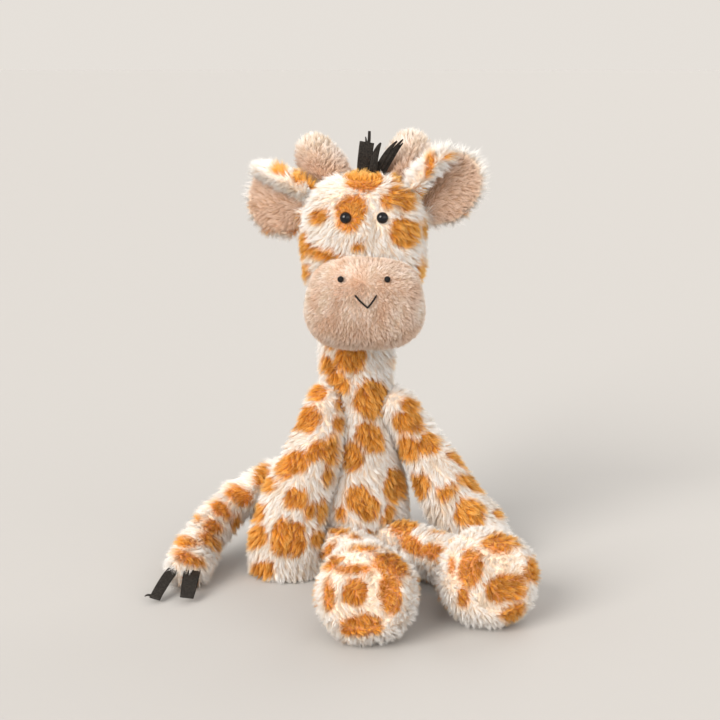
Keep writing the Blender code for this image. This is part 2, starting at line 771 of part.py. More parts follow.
def make_horn(shop, side, sign):
    """A short stuffed horn, cut to the crown it is sewn on."""
    root = Vector((CROWN_CENTRE.x + sign * HORN_ROOT_SPREAD, HORN_ROOT_DEPTH,
                   HORN_ROOT_HEIGHT))
    tip = Vector((CROWN_CENTRE.x + sign * HORN_TIP_SPREAD, HORN_TIP_DEPTH,
                  HORN_TIP_HEIGHT + sign * HORN_TIP_TILT))
    points = [root, root.lerp(tip, 0.5), tip]
    radii = [HORN_RADIUS, HORN_RADIUS, HORN_RADIUS * HORN_TIP_SHARE]
    mesh = limb_mesh("horn_" + side, points, radii, count=HORN_STEPS)
    horn = shop.piece("horn_" + side, mesh, "beige", shop.nod)
    crown = plump_mesh(
        "crown_grown", CROWN_CENTRE, CROWN_HALF_SIZE, CROWN_SQUARENESS, grow=SEAM_GAP)
    cut_back(shop, horn, crown, "crown_under_horn_" + side)
    return limb_mesh("horn_grown_" + side, points, radii, count=HORN_STEPS, grow=SWING_GAP)


def ear_mesh(name, front, shoulder, matrix):
    """One layer of an ear, a cupped leaf on a sphere's points.

    Along the sphere's x the leaf grows from root to tip, and across it the
    width swells with the taper. The shoulder widens the upper half towards
    the root. The two rims curl forward with the square of the width. The
    lining keeps only the thickness in front of that cupped sheet, and the
    back only the thickness behind it.
    """
    work = bmesh.new()
    bmesh.ops.create_uvsphere(
        work, u_segments=BALL_SEGMENTS, v_segments=BALL_RINGS, radius=1.0)
    turn = Matrix.Rotation(math.pi / 2, 4, "Y")
    bmesh.ops.transform(work, matrix=turn, verts=work.verts)
    share = EAR_LINING_SHARE if front else 1.0
    half_gap = EAR_LAYER_GAP / 2
    for vert in work.verts:
        along, depth, across = vert.co.x * share, vert.co.y, vert.co.z * share
        width = rim_width(along, shoulder if across > 0.0 else 0.0)
        curl = EAR_UPPER_CURL if across > 0.0 else EAR_LOWER_CURL
        sheet = -curl * across * across
        if front:
            offset = -half_gap - EAR_LINING_THICKNESS * max(-depth, 0.0)
        else:
            offset = half_gap + EAR_BACK_THICKNESS * max(depth, 0.0)
        vert.co = Vector((
            EAR_STEM + EAR_LENGTH / 2 * (1.0 + along),
            sheet + offset,
            EAR_WIDTH / 2 * across * width))
    bmesh.ops.transform(work, matrix=matrix, verts=work.verts)
    bmesh.ops.recalc_face_normals(work, faces=work.faces)
    mesh = bpy.data.meshes.new(name)
    work.to_mesh(mesh)
    work.free()
    return mesh


def rim_width(along, shoulder):
    """How much wider than a plain oval the ear is at a place along it."""
    width = 1.0 + EAR_TAPER_SHARE * along
    if along < 0.0:
        width += shoulder * along * along
    return width


def ear_roll(name, shoulder, matrix, grow=0.0):
    """The ear's upper rim, rolled over towards the front as a tapered tube.

    It follows the rim of the cupped leaf, where the share across is the root
    of 1 less the square of the share along.
    """
    points = []
    radii = []
    for along, swell in EAR_ROLL_SHARES:
        across = math.sqrt(1.0 - along * along)
        points.append(Vector((
            EAR_STEM + EAR_LENGTH / 2 * (1.0 + along),
            -EAR_UPPER_CURL * across * across - EAR_ROLL_FORWARD,
            EAR_WIDTH / 2 * across * rim_width(along, shoulder))))
        radii.append(EAR_ROLL_RADIUS * swell)
    mesh = limb_mesh(name, points, radii, EAR_ROLL_STEPS, grow=grow)
    mesh.transform(matrix)
    return weld(mesh)


def make_ear(shop, side, sign, lift, sweep, shoulder, blockers):
    """An ear that flops about its root ball on the side of the crown."""
    x_axis = Vector((sign, 0.0, 0.0))
    tree_mesh = plump_mesh("crown_side", CROWN_CENTRE, CROWN_HALF_SIZE, CROWN_SQUARENESS)
    tree = BVHTree.FromPolygons([vert.co for vert in tree_mesh.vertices],
                                [face.vertices for face in tree_mesh.polygons])
    height = CROWN_CENTRE.z + EAR_RISE_SHARE * CROWN_HALF_SIZE.z
    outside = CROWN_CENTRE.x + sign * (CROWN_HALF_SIZE.x + OVERRUN)
    start = Vector((outside, EAR_DEPTH, height))
    root, _, _, _ = tree.ray_cast(start, -x_axis)
    root += x_axis * EAR_ROOT_OUT
    pivot = shop.pivot("ear_pivot_" + side, root, shop.nod)
    matrix = (Matrix.Translation(root)
              @ Matrix.Diagonal((sign, 1.0, 1.0, 1.0))
              @ Matrix.Rotation(sweep, 4, "Z")
              @ Matrix.Rotation(-lift, 4, "Y"))
    back = shop.piece("ear_back_" + side, ear_mesh("back", False, shoulder, matrix),
                      "patterned", pivot)
    lining = shop.piece("ear_lining_" + side, ear_mesh("lining", True, shoulder, matrix),
                        "beige", pivot)
    roll = ear_roll("roll_ear_" + side, shoulder, matrix)
    combine(back, shop.cutter("roll_ear_" + side, roll), "UNION")
    grown = ear_roll("roll_grown_ear_" + side, shoulder, matrix, SEAM_GAP)
    combine(lining, shop.cutter("roll_grown_ear_" + side, grown))
    for piece in (back, lining):
        for swing in (0.0, *EAR_SWINGS):
            turn = turn_about(root, Vector((0.0, 1.0, 0.0)), swing * sign)
            for number, blocker in enumerate(blockers):
                name = "clear_{}_{}_{:.0f}".format(piece.name, number, swing)
                combine(piece, shop.cutter(name, blocker, turn))
    ball = ball_mesh("ball_ear_" + side, root, EAR_BALL_RADIUS, EYE_STEPS, SMALL_RINGS)
    combine(back, shop.cutter("ball_ear_" + side, ball), "UNION", "MANIFOLD")
    grown = ball_mesh("ball_grown_ear_" + side, root, EAR_BALL_RADIUS + SEAM_GAP,
                      EYE_STEPS, SMALL_RINGS)
    combine(lining, shop.cutter("ball_grown_ear_" + side, grown))
    return root


def ribbon_mesh(name, width, length, curl, matrix, grow=0.0):
    """A flat ribbon whose far end is split, curled along its length.

    The strip stands along z and its curl grows with the square of the
    distance from its root.
    """
    work = bmesh.new()
    bmesh.ops.create_grid(work, x_segments=3, y_segments=6, size=1.0)
    if grow == 0.0:
        slit = [face for face in work.faces
                if abs(face.calc_center_median().x) < RIBBON_SLIT_SHARE
                and face.calc_center_median().y > RIBBON_SLIT_SHARE]
        bmesh.ops.delete(work, geom=slit, context="FACES")
    for vert in work.verts:
        share = (vert.co.y + 1.0) / 2.0
        ragged = 1.0 + RIBBON_RAGGED_SHARE * vert.co.x * share
        vert.co = Vector((
            vert.co.x * (width / 2 + grow),
            curl * share * share,
            length * share * ragged - RIBBON_SEAT - grow))
    geom = bmesh.ops.extrude_face_region(work, geom=work.faces[:])["geom"]
    moved = [item for item in geom if isinstance(item, bmesh.types.BMVert)]
    thick = RIBBON_THICKNESS + 2.0 * grow
    bmesh.ops.translate(work, verts=work.verts, vec=(0.0, -thick / 2, 0.0))
    bmesh.ops.translate(work, verts=moved, vec=(0.0, thick, 0.0))
    bmesh.ops.transform(work, matrix=matrix, verts=work.verts)
    bmesh.ops.recalc_face_normals(work, faces=work.faces)
    mesh = bpy.data.meshes.new(name)
    work.to_mesh(mesh)
    work.free()
    return mesh


def make_head(shop, blocker):
    """Crown, eyes, muzzle, horns, ears and forelock."""
    shop.nod = shop.pivot("nod_pivot", Vector((0.0, 0.0, NECK_HEIGHT)))
    mesh = plump_mesh("head_crown", CROWN_CENTRE, CROWN_HALF_SIZE, CROWN_SQUARENESS)
    whole = mesh.copy()
    crown = shop.piece("head_crown", mesh, "patterned", shop.nod)
    neck = ball_mesh("nod_seat", Vector((0.0, 0.0, NECK_HEIGHT)),
                     NECK_RADIUS + SWING_GAP + SEAM_GAP, BODY_STEPS, HEAD_RINGS)
    combine(crown, shop.cutter("nod_seat", neck))
    clear_neck(shop, crown, blocker)
    make_muzzle(shop, blocker)
    for side, sign in (("left", -1.0), ("right", 1.0)):
        make_eye(shop, side, sign, crown, whole)
    horns = [make_horn(shop, side, sign) for side, sign in (("left", -1.0), ("right", 1.0))]
    grown = plump_mesh(
        "crown_swing", CROWN_CENTRE, CROWN_HALF_SIZE, CROWN_SQUARENESS, grow=SWING_GAP)
    for side, sign, lift, sweep, shoulder, horn in (
            ("left", -1.0, LEFT_EAR_LIFT, LEFT_EAR_SWEEP, LEFT_EAR_SHOULDER_SHARE,
             horns[0]),
            ("right", 1.0, RIGHT_EAR_LIFT, RIGHT_EAR_SWEEP, RIGHT_EAR_SHOULDER_SHARE,
             horns[1])):
        root = make_ear(shop, side, sign, lift, sweep, shoulder, (grown, horn))
        socket(shop, crown, "ear_" + side, root, EAR_BALL_RADIUS)
    ribbons = (
        ("left", FORELOCK_LEFT_X, 0.0, FORELOCK_WIDE, FORELOCK_LENGTH,
         FORELOCK_LEFT_LEAN),
        ("right", FORELOCK_RIGHT_X, FORELOCK_APART, FORELOCK_NARROW,
         FORELOCK_SIDE_LENGTH, FORELOCK_RIGHT_LEAN),
    )
    tree = BVHTree.FromPolygons([vert.co for vert in whole.vertices],
                                [face.vertices for face in whole.polygons])
    for side, x, behind, width, length, lean in ribbons:
        above = CROWN_CENTRE.z + CROWN_HALF_SIZE.z + OVERRUN
        start = Vector((x, FORELOCK_DEPTH + behind, above))
        place, _, _, _ = tree.ray_cast(start, Vector((0.0, 0.0, -1.0)))
        frame = Matrix.Translation(place) @ Matrix.Rotation(lean, 4, "Y")
        name = "forelock_ribbon_" + side
        strip = ribbon_mesh(name, width, length, FORELOCK_CURL, frame)
        shop.piece(name, strip, "ribbon", shop.nod)
        slot = ribbon_mesh("slot_" + side, width, length, FORELOCK_CURL, frame, SEAM_GAP)
        combine(crown, shop.cutter("slot_forelock_" + side, slot))


def tail_outline(grow=0.0):
    """Centre points and radii of the tail, which curls round to the front."""
    span = TAIL_TIP - TAIL_ROOT
    points = [TAIL_ROOT + Vector((span.x * across, span.y * ahead, span.z * down))
              for across, ahead, down in TAIL_PATH_SHARES]
    radii = [TAIL_RADIUS * swell + grow for swell in TAIL_SWELL_SHARES]
    return points, radii


def make_tail(shop, blocker):
    """The stuffed tail and the two ribbons of its tuft."""
    pivot = shop.pivot("tail_pivot", TAIL_ROOT)
    points, radii = tail_outline()
    tail = shop.piece("tail", limb_mesh("tail", points, radii), "tail")
    seat_limb(shop, tail, blocker, TAIL_ROOT, Vector((0.0, 0.0, 1.0)), TAIL_SWINGS,
              TAIL_BALL_RADIUS)
    combine(tail, shop.floor)
    along = (points[-1] - points[-2]).normalized()
    for side, width, turn, spread in (
            ("left", TAIL_RIBBON_NARROW, TAIL_LEFT_TURN, -TAIL_RIBBON_APART),
            ("right", TAIL_RIBBON_WIDE, TAIL_RIGHT_TURN, TAIL_RIBBON_APART)):
        heading = math.atan2(along.y, along.x) + turn
        across = Vector((-along.y, along.x, 0.0)).normalized()
        root = TAIL_TIP + along * (TAIL_TIP_RADIUS - RIBBON_SEAT) + across * spread
        root.z = TAIL_RIBBON_HEIGHT
        frame = (Matrix.Translation(root)
                 @ Matrix.Rotation(heading - math.pi / 2, 4, "Z")
                 @ Matrix.Rotation(-math.pi / 2 - TAIL_RIBBON_DIP, 4, "X"))
        name = "tail_ribbon_" + side
        strip = ribbon_mesh(name, width, TAIL_RIBBON_LENGTH, TAIL_RIBBON_CURL, frame)
        shop.piece(name, strip, "ribbon", pivot)
        slot = ribbon_mesh("slot", width, TAIL_RIBBON_LENGTH, TAIL_RIBBON_CURL, frame,
                           SEAM_GAP)
        combine(tail, shop.cutter("slot_" + name, slot))


def main():
    """Build the whole toy."""
    clear_scene()
    shop = Workshop()
    wide = 4.0 * LEG_LENGTH
    slab = box_mesh("floor", Vector((-wide, -wide, -wide)), Vector((wide, wide, 0.0)))
    shop.floor = shop.cutter("floor_cut", slab)
    grown = turned_mesh("body_grown", body_profile(SWING_GAP), BODY_STEPS)
    limbs = {
        "arm_left": (LEFT_SHOULDER, SHOULDER_RADIUS),
        "arm_right": (RIGHT_SHOULDER, SHOULDER_RADIUS),
        "leg_left": (LEFT_HIP, HIP_RADIUS),
        "leg_right": (RIGHT_HIP, HIP_RADIUS),
        "tail": (TAIL_ROOT, TAIL_BALL_RADIUS),
    }
    make_body(shop, limbs)
    make_leg(shop, "left", LEFT_HIP, LEFT_LEG_HEADINGS, grown)
    make_leg(shop, "right", RIGHT_HIP, RIGHT_LEG_HEADINGS, grown)
    left_arm = make_arm(shop, "left", LEFT_SHOULDER, LEFT_HOOF, LEFT_HOOF_RADIUS,
                        LEFT_ARM_SHARES, Vector((-1.0, 0.0, 0.0)), grown)
    points, radii, _ = leg_outline(LEFT_HIP, LEFT_LEG_HEADINGS, SWING_GAP)
    thigh = tube_mesh("thigh", points, radii, LIMB_SIDES)
    for swing in THIGH_SWINGS:
        turn = turn_about(LEFT_HIP, Vector((-1.0, 0.0, 0.0)), swing)
        combine(left_arm, shop.cutter("thigh_{:.0f}".format(swing), thigh, turn))
    socket(shop, left_arm, "thigh_root", LEFT_HIP, HIP_RADIUS)
    make_arm(shop, "right", RIGHT_SHOULDER, RIGHT_HOOF, RIGHT_HOOF_RADIUS,
             RIGHT_ARM_SHARES, Vector((0.0, -1.0, 0.0)), grown)
    make_head(shop, grown)
    make_tail(shop, grown)


main()
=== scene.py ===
"""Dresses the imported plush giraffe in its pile, patches, ribbons and thread.

Every stuffed solid of the frame gets a soft skin, and a coat of closed tapered
strands that is grown on it.
"""
import functools
import itertools
import json
import math

import bmesh
import bpy
import numpy as np
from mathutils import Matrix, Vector
from mathutils.bvhtree import BVHTree


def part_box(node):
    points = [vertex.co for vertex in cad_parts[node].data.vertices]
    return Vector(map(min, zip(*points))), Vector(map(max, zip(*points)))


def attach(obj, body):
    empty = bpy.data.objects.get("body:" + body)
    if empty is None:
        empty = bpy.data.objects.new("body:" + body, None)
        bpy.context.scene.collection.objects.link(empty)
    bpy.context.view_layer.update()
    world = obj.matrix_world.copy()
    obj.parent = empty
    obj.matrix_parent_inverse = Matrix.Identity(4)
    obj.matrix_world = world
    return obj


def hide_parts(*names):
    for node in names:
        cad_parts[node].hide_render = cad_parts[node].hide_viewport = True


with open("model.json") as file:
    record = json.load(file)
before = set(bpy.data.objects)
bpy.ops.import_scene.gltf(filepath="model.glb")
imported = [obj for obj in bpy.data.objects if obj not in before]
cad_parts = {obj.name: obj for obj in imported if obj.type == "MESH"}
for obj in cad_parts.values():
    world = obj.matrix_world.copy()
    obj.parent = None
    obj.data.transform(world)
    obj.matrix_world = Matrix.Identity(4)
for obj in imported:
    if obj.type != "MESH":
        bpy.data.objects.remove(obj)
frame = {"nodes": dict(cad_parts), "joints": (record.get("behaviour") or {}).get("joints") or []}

bl_info = {
    "name": "Plush Giraffe",
    "version": (1, 0, 0),
    "blender": (4, 5, 0),
    "location": "View3D > Sidebar > Plush",
    "description": "Skins, pile, ribbons and eyes for a seated plush giraffe",
    "category": "Object",
}

JOINTS = {joint["name"]: Vector(joint["pos_m"]) for joint in frame["joints"]}

# The photograph's camera, in metres and in its own pixels
PHOTO_PIXELS = 720.0
CAMERA_PLACE = np.array((0.0022, -0.8503, 0.3090))
CAMERA_DIP = math.radians(12)
CAMERA_LENS_MM = 70.0
CAMERA_SENSOR_MM = 36.0
CAMERA_FOCUS = PHOTO_PIXELS * CAMERA_LENS_MM / CAMERA_SENSOR_MM

# Orange patches, as ellipses in the photograph's pixels: across, down, half
# width, half height, and the turn in degrees that dips the right end
TORSO_PATCHES = (
    (329, 347, 5, 5, 0), (350, 361, 17, 13, 0), (326, 367, 7, 9, 0), (338, 383, 13, 9, 35),
    (392, 362, 3, 5, 0), (373, 401, 20, 20, -40), (371, 440, 17, 13, 35),
    (352.5, 458, 11.5, 14, 0), (396.5, 487, 12, 17, 0), (363, 504, 21, 13, 38),
    (340, 516, 5.5, 8, 0), (389, 517, 5, 10, 30), (366, 536, 8, 4, 0),
)
LEFT_ARM_PATCHES = (
    (316, 392, 12, 9, 0), (342, 405, 5, 8, 0), (304, 420, 18, 14, 0), (341, 425, 7.5, 8, 0),
    (317, 453, 9, 15, 60), (333, 452, 8, 15, 0), (291, 465.5, 19, 12, -20),
    (329.5, 478.5, 6, 8, 0), (267.5, 485, 7, 8, 0), (296.5, 500, 14, 10, 0),
    (323, 513, 6, 10, 0), (311, 512, 5, 8, 0), (254, 513, 8.5, 10, 0), (288, 540, 20, 20, 0),
    (320, 542, 8, 9, 0), (256, 538, 13, 12, -30), (262, 572, 13, 9, 0),
)
RIGHT_ARM_PATCHES = (
    (412.7, 406, 10, 8, 0), (408, 424, 16, 12, 0), (407.5, 451, 11, 13, 0),
    (429, 446, 14, 10, -35), (464, 461, 16, 5, 32), (419, 487, 12, 12, 0),
    (447, 494, 6.5, 11, 60), (478, 483.5, 17, 8, 20), (471, 514, 17, 14.5, 0),
    (501.5, 513, 6, 5, 0),
)
TAIL_PATCHES = (
    (261, 476, 8, 12, 0), (238, 496, 14, 8, 40), (219, 509, 13, 6.5, 42), (214, 527, 10, 6, 25),
    (211, 540, 14, 5, 40), (215, 553, 4, 8, 0), (196, 517, 4, 2.5, 0), (185, 541, 15, 4.5, 8),
    (189, 559, 20, 6, 22), (165.5, 571, 4, 5, 0), (238, 527, 4, 9, 0), (202.5, 581.6, 4, 3, 0),
)
LEFT_LEG_PATCHES = (
    (355, 593, 13, 14, 30), (352, 570, 17, 5, 0), (391, 594, 11, 22, 0), (391, 564, 19, 11, 25),
    (363, 626.5, 20, 11, 0), (328, 594, 6, 14, 0), (414, 583, 7, 9, 0), (326, 622, 12, 8, 30),
    (401, 628.5, 4, 5, 0), (331, 563, 9, 5, -40), (363.5, 547, 13, 3, 0), (324, 553, 14, 4, -40),
    (338, 529.6, 9, 3, 0), (356, 536, 5, 3, 30),
)
RIGHT_LEG_PATCHES = (
    (404, 524, 15, 14, 0), (412, 545, 8, 15, -60), (434, 553, 8, 16, -65), (440, 527, 11, 4, 0),
    (500.5, 542, 17, 10, 0), (471, 569, 12, 20, 12), (506, 589, 22, 15, -10),
    (534, 572, 8, 13, 10), (444, 596, 8, 6, 0), (514, 613, 13, 8, -30), (464, 598, 5, 8, 0),
    (451, 565, 3, 7, 0),
)
CROWN_PATCHES = (
    (364, 179, 20, 14, 0), (350.5, 214, 16, 19, 0), (316.5, 217, 9, 7, -15), (305, 246, 8, 16, 0),
    (318, 254.6, 14, 5, 15), (303, 273, 4, 9, 0), (359.5, 249.5, 6, 3.5, 0), (406.5, 234, 16, 15, 0),
    (404, 198, 16, 11, 35), (387.5, 201, 6, 7, 0), (400.5, 175.5, 9, 6, 35), (426, 229, 4, 8, 0),
    (423, 270, 4, 11, 0),
)
LEFT_EAR_PATCHES = (
    (280, 166, 9, 5, -10), (303, 171, 12, 11, 15), (318, 181, 12, 10, 35),
    (268, 230.5, 6, 4, 0), (293.7, 233, 5, 3, 0), (249, 208, 3, 5, 0),
)
RIGHT_EAR_PATCHES = (
    (430, 163, 5, 12, 0), (452, 156.5, 6, 3, -30), (466, 214, 3, 2, 0),
)

# Each node's patches: those that the photograph shows, and then, for the others, the
# spacing, the radius and the seed that places them
PATCHES = {
    "torso": (TORSO_PATCHES, 0.0215, 0.0098, 21),
    "head_crown": (CROWN_PATCHES, 0.0225, 0.0102, 22),
    "ear_back_left": (LEFT_EAR_PATCHES, 0.019, 0.0085, 82),
    "ear_back_right": (RIGHT_EAR_PATCHES, 0.019, 0.0085, 83),
    "arm_left": (LEFT_ARM_PATCHES, 0.0215, 0.0098, 61),
    "arm_right": (RIGHT_ARM_PATCHES, 0.0215, 0.0098, 62),
    "leg_left": (LEFT_LEG_PATCHES, 0.0225, 0.0102, 71),
    "leg_right": (RIGHT_LEG_PATCHES, 0.0225, 0.0102, 72),
    "tail": (TAIL_PATCHES, 0.0175, 0.0070, 71),
}

# How far a patch reaches from its middle, how blocky its outline is, where 2 is an
# ellipse, the half width of its soft edge and what it gains all round, both in
# pixels, and how sure a place has to be in one to count as orange
PATCH_REACH = 0.0175
PATCH_BLOCKY = 2.4
PATCH_SOFT = 2.6
PATCH_SWELL = 0.8
ORANGE_LEAST = 0.3

# A place counts as seen where the cosine between its normal and the way to the
# camera is at least so much and nothing hides it from this far off the cloth
SEEN_FACING = 0.12
SEEN_LIFT = 0.0015

# Patches that the photograph doesn't show: how many radii they keep from the
# orange and from all that is seen, the range of their sizes and of their widths as
# shares, their depth as a share of their size, and the half width of their edge
CLEAR_OF_ORANGE = 1.35
CLEAR_OF_SEEN = 0.55
SPOT_SIZES = (0.78, 1.18)
SPOT_WIDTHS = (0.62, 0.95)
SPOT_DEPTH = 1.6
SPOT_SOFT = 0.0010

# Fibre colours at the root, in the middle and at the tip, and the height of each.
# The dark root is painted shade deep in the pile, and the pale tip is a painted highlight.
# A darker tuft takes more of its shades, which go from the darkest tone up
CREAM = ((0.93, 0.75, 0.59), (0.98, 0.94, 0.90), (0.99, 0.985, 0.98))
ORANGE = ((0.52, 0.165, 0.016), (0.93, 0.40, 0.055), (1.0, 0.69, 0.25))
BEIGE = ((0.45, 0.275, 0.185), (0.73, 0.51, 0.38), (0.92, 0.76, 0.645))
# The paler beige of the horns' tips and the muzzle's drifts, and a painted light on the muzzle's top
BEIGE_TIP = ((0.66, 0.50, 0.40), (0.93, 0.83, 0.76), (0.98, 0.96, 0.95))
FIBRE_HEIGHTS = (0.0, 0.45, 1.0)
PLAIN_SHADES = ((0.0, (0.86, 0.76, 0.64)), (0.5, (0.96, 0.94, 0.915)), (1.0, (1.0, 1.0, 1.0)))
PATCH_SHADES = ((0.0, (0.50, 0.40, 0.30)), (0.45, (0.84, 0.76, 0.64)), (1.0, (1.0, 1.0, 1.0)))
PLUSHES = {"patterned": (CREAM, ORANGE), "beige": (BEIGE, BEIGE_TIP)}

# Each stuffed piece's skin, the left and the right alike: the size of its even faces,
# its rounds of smoothing, the height of its lumps, and how near to other solids it
# still has pile
SKINS = {
    "torso": (0.0022, 6, 0.0005, 0.0012),
    "seat_panel": (0.0008, 1, 0.0, 0.0),
    "head_crown": (0.0022, 6, 0.0005, 0.0010),
    "muzzle": (0.0017, 6, 0.0005, 0.0010),
    "horn": (0.0016, 6, 0.0005, 0.0010),
    "ear_back": (0.0011, 3, 0.0002, 0.0012),
    "ear_lining": (0.0010, 3, 0.0002, 0.0007),
    "arm": (0.0020, 6, 0.0005, 0.0011),
    "arm_pad": (0.0008, 1, 0.0, 0.0),
    "leg": (0.0021, 6, 0.0005, 0.0009),
    "sole": (0.0011, 2, 0.0005, 0.0006),
    "tail": (0.0017, 6, 0.0005, 0.0011),
}

# The least height of a skin above the floor
SKIN_LIFT = 0.0009

# Pile: the most strands in a piece, the steps of a strand's tone and patch, the
# share of short strands and how short and upright they are, how far tips sag, how
# deep roots sit, and how high above the floor the lowest points are spread
STRANDS_A_PIECE = 46000
TONE_STEPS = 10
PATCH_STEPS = 4
SHORT_SHARE = 0.45
SHORT_LENGTH = 0.66
SHORT_LEAN = 0.75
SAG = 0.22
ROOT_DEPTH = 0.0003
FLOOR_GAP = 0.00015
FLOOR_SPREAD = 0.0006

# What a strand's lock, its tuft and the strand itself add to its turn and its lean
# in radians, its length as a share and its tone, and the limits of two of them. A
# strand's own turn is the coat's stray
TURN_SPREAD = (1.2, 1.1)
LENGTH_SPREAD = (0.0, 0.30, 0.07)
LEAN_SPREAD = (0.30, 0.36, 0.08)
TONE_SPREAD = (0.45, 0.75, 0.10)
MEAN_LENGTH = 0.97
LENGTH_LIMITS = (0.5, 1.35)
LEAN_LIMITS = (0.1, 1.35)

# A spike's four faces: for each corner its point, where three go round the root and
# the last is the tip, its place round the spike in thirds and its place along it
SPIKE = (
    (0, 0.0, 0.0), (1, 1.0, 0.0), (3, 0.5, 1.0),
    (1, 1.0, 0.0), (2, 2.0, 0.0), (3, 1.5, 1.0),
    (2, 2.0, 0.0), (0, 3.0, 0.0), (3, 2.5, 1.0),
    (2, 3.0, 0.0), (1, 1.5, 0.03), (0, 0.0, 0.0),
)
SPIKE_CORNERS = np.array([point for point, _, _ in SPIKE])
SPIKE_SHARES = np.array([(turn / 3.0, 0.02 + 0.96 * rise) for _, turn, rise in SPIKE])

# How much of a strand's shading comes from its tuft and how much from its own round
SHADED_SOFT = 0.45
SHADED_ROUND = 0.7

# Small pieces: their sizes, how far they stand out of the cloth, so that the pile
# frames them, and the ring of cloth round each that gives its place
EYE_RADIUS = 0.0034
EYE_DEPTH = 0.86
EYE_LIFT = 0.0016
EYE_RING = 0.0045
KNOT_LIFT = 0.0010
KNOT_RING = 0.0028
KNOT_STRANDS = 9
SMILE_LIFT = 0.0019
SMILE_PEAK = 0.17
SMILE_CURVE = 0.92
SMILE_TWISTS = 11.0
PLY_RADIUS = 0.00040
PLY_OFFSET = 0.00030
RIBBON_HALF = 0.00026
RIBBON_RIPPLE = 0.00035
POUCH_FOLDS = 14.0
POUCH_FOLD_DEPTH = 0.035
POUCH_SHARE = 0.99

# Round the small pieces the pile is shorter: how near it grows and where it has its
# full length, in metres, but in radii for an eye, and the same for the soles' seams
EYE_CLEAR = (0.88, 2.3)
KNOT_CLEAR = (0.0014, 0.0042)
SMILE_CLEAR = (0.0004, 0.0026)
SEAM_CLEAR = (0.0004, 0.0034)

# The crown's pile stands up round the forelock: how far below the top this starts and
# is full, and how far from the middle it is still full and ends
TUFT_DROPS = (0.012, 0.003)
TUFT_SPANS = (0.010, 0.019)

# No pile grows on the inner rim of the seat, below the first height, or on the neck
# inside the head, from so far above the joint
SEAT_RIM = 0.0030
NECK_INSIDE = 0.008

# The fringe of an ear: a place is rim where the cosine between its normal and the
# ear's own is less than the first, the fringe has the second share of its length low
# down, and it is longest so far above the ear's middle
RIM_FACING = 0.55
FRINGE_LEAST = 0.55
FRINGE_RISE = 0.018

# How far from a sole's middle its swirl starts to run outwards and fully does
SOLE_RIM = (0.010, 0.017)

# The lamps' colour and the place that they aim at, the even light's colour, and how
# far the floor reaches each way
LAMP_COLOUR = (1.0, 0.955, 0.90)
LAMP_AIM = (0.0, -0.03, 0.12)
SKY_COLOUR = (1.0, 0.985, 0.965)
FLOOR_REACH = 60.0

# Ribbons: node, body, the way the ribbon faces, and its prongs. A prong has a
# start, a knee and an end as shares of the node's box, a half width and the
# share of it left at the tip
RIBBONS = (
    ("forelock_ribbon_left", "head", (0.15, -1.0, 0.1), (
        ((0.33, 0.4, 0.05), (0.33, 0.3, 0.50), (0.474, 0.2, 0.873), 0.0044, 1.0),
        ((0.45, 0.6, 0.30), (0.56, 0.7, 0.80), (0.589, 0.8, 1.112), 0.0011, 0.75),
        ((0.50, 0.7, 0.50), (0.45, 0.7, 0.80), (0.402, 0.8, 0.987), 0.0010, 0.30),
        ((0.74, 0.3, 0.20), (0.84, 0.3, 0.68), (1.134, 0.4, 0.856), 0.0024, 0.22),
    )),
    ("forelock_ribbon_right", "head", (0.2, -1.0, 0.25), (
        ((0.02, 0.2, 0.25), (0.23, 0.2, 0.95), (0.564, 0.1, 1.300), 0.0018, 0.30),
        ((0.09, 0.4, 0.25), (0.35, 0.4, 0.90), (0.713, 0.3, 1.358), 0.0018, 0.22),
        ((0.18, 0.6, 0.25), (0.44, 0.6, 0.86), (0.708, 0.6, 1.242), 0.0017, 0.20),
    )),
    ("tail_ribbon_left", "tail", (0.1, -0.55, 1.0), (
        ((0.90, 1.00, 0.98), (0.50, 0.40, 0.78), (0.27, -0.165, -0.06), 0.0036, 0.92),
        ((0.36, -0.04, 0.06), (0.10, -0.10, 0.16), (-0.06, -0.08, 0.06), 0.0011, 0.30),
    )),
    ("tail_ribbon_right", "tail", (0.1, -0.55, 1.0), (
        ((0.60, 0.95, 0.98), (0.60, 0.45, 0.72), (0.52, 0.0, 0.06), 0.0050, 0.80),
    )),
)


def repeatable(seed):
    """A random generator that gives the same numbers each run."""
    return np.random.default_rng(seed)


def unit(vectors):
    """Each row divided by its length."""
    size = np.linalg.norm(vectors, axis=-1, keepdims=True)
    return vectors / np.maximum(size, 1e-12)


def across(vectors, normals):
    """What is left of each row when its part along the normal is taken out."""
    return vectors - normals * np.sum(vectors * normals, axis=-1, keepdims=True)


def square_to(normal, guide=(0.0, 0.0, 1.0)):
    """Two directions square to a normal and to each other."""
    first = unit(np.cross(normal, guide))
    return first, np.cross(normal, first)


def round_turn(sides):
    """Even angles once round."""
    return np.linspace(0.0, 2.0 * math.pi, sides, endpoint=False)


def points_and_normals(mesh):
    """A mesh's vertices and their normals, as arrays."""
    arrays = []
    for source, name in ((mesh.vertices, "co"), (mesh.vertex_normals, "vector")):
        flat = np.zeros(len(mesh.vertices) * 3, np.float32)
        source.foreach_get(name, flat)
        arrays.append(flat.reshape(-1, 3).astype(float))
    return arrays


def lattice_random(cells, seed, count):
    """Random shares for whole-number cells.

    The cell's numbers are mixed by products and shifts, so a cell gives the
    same shares wherever it is asked for.
    """
    cells = cells.astype(np.int64).astype(np.uint64)
    shares = []
    for k in range(count):
        key = (cells[..., 0] * np.uint64(73856093)) ^ (cells[..., 1] * np.uint64(19349663))
        key ^= (cells[..., 2] * np.uint64(83492791)) ^ np.uint64(seed * 7919 + k * 104729 + 1)
        key ^= key >> np.uint64(13)
        key *= np.uint64(0x5BD1E9955BD1E995)
        key ^= key >> np.uint64(29)
        key *= np.uint64(0x9E3779B97F4A7C15)
        key ^= key >> np.uint64(32)
        shares.append((key & np.uint64(0xFFFFFF)).astype(float) / float(0xFFFFFF))
    return np.stack(shares, axis=-1)


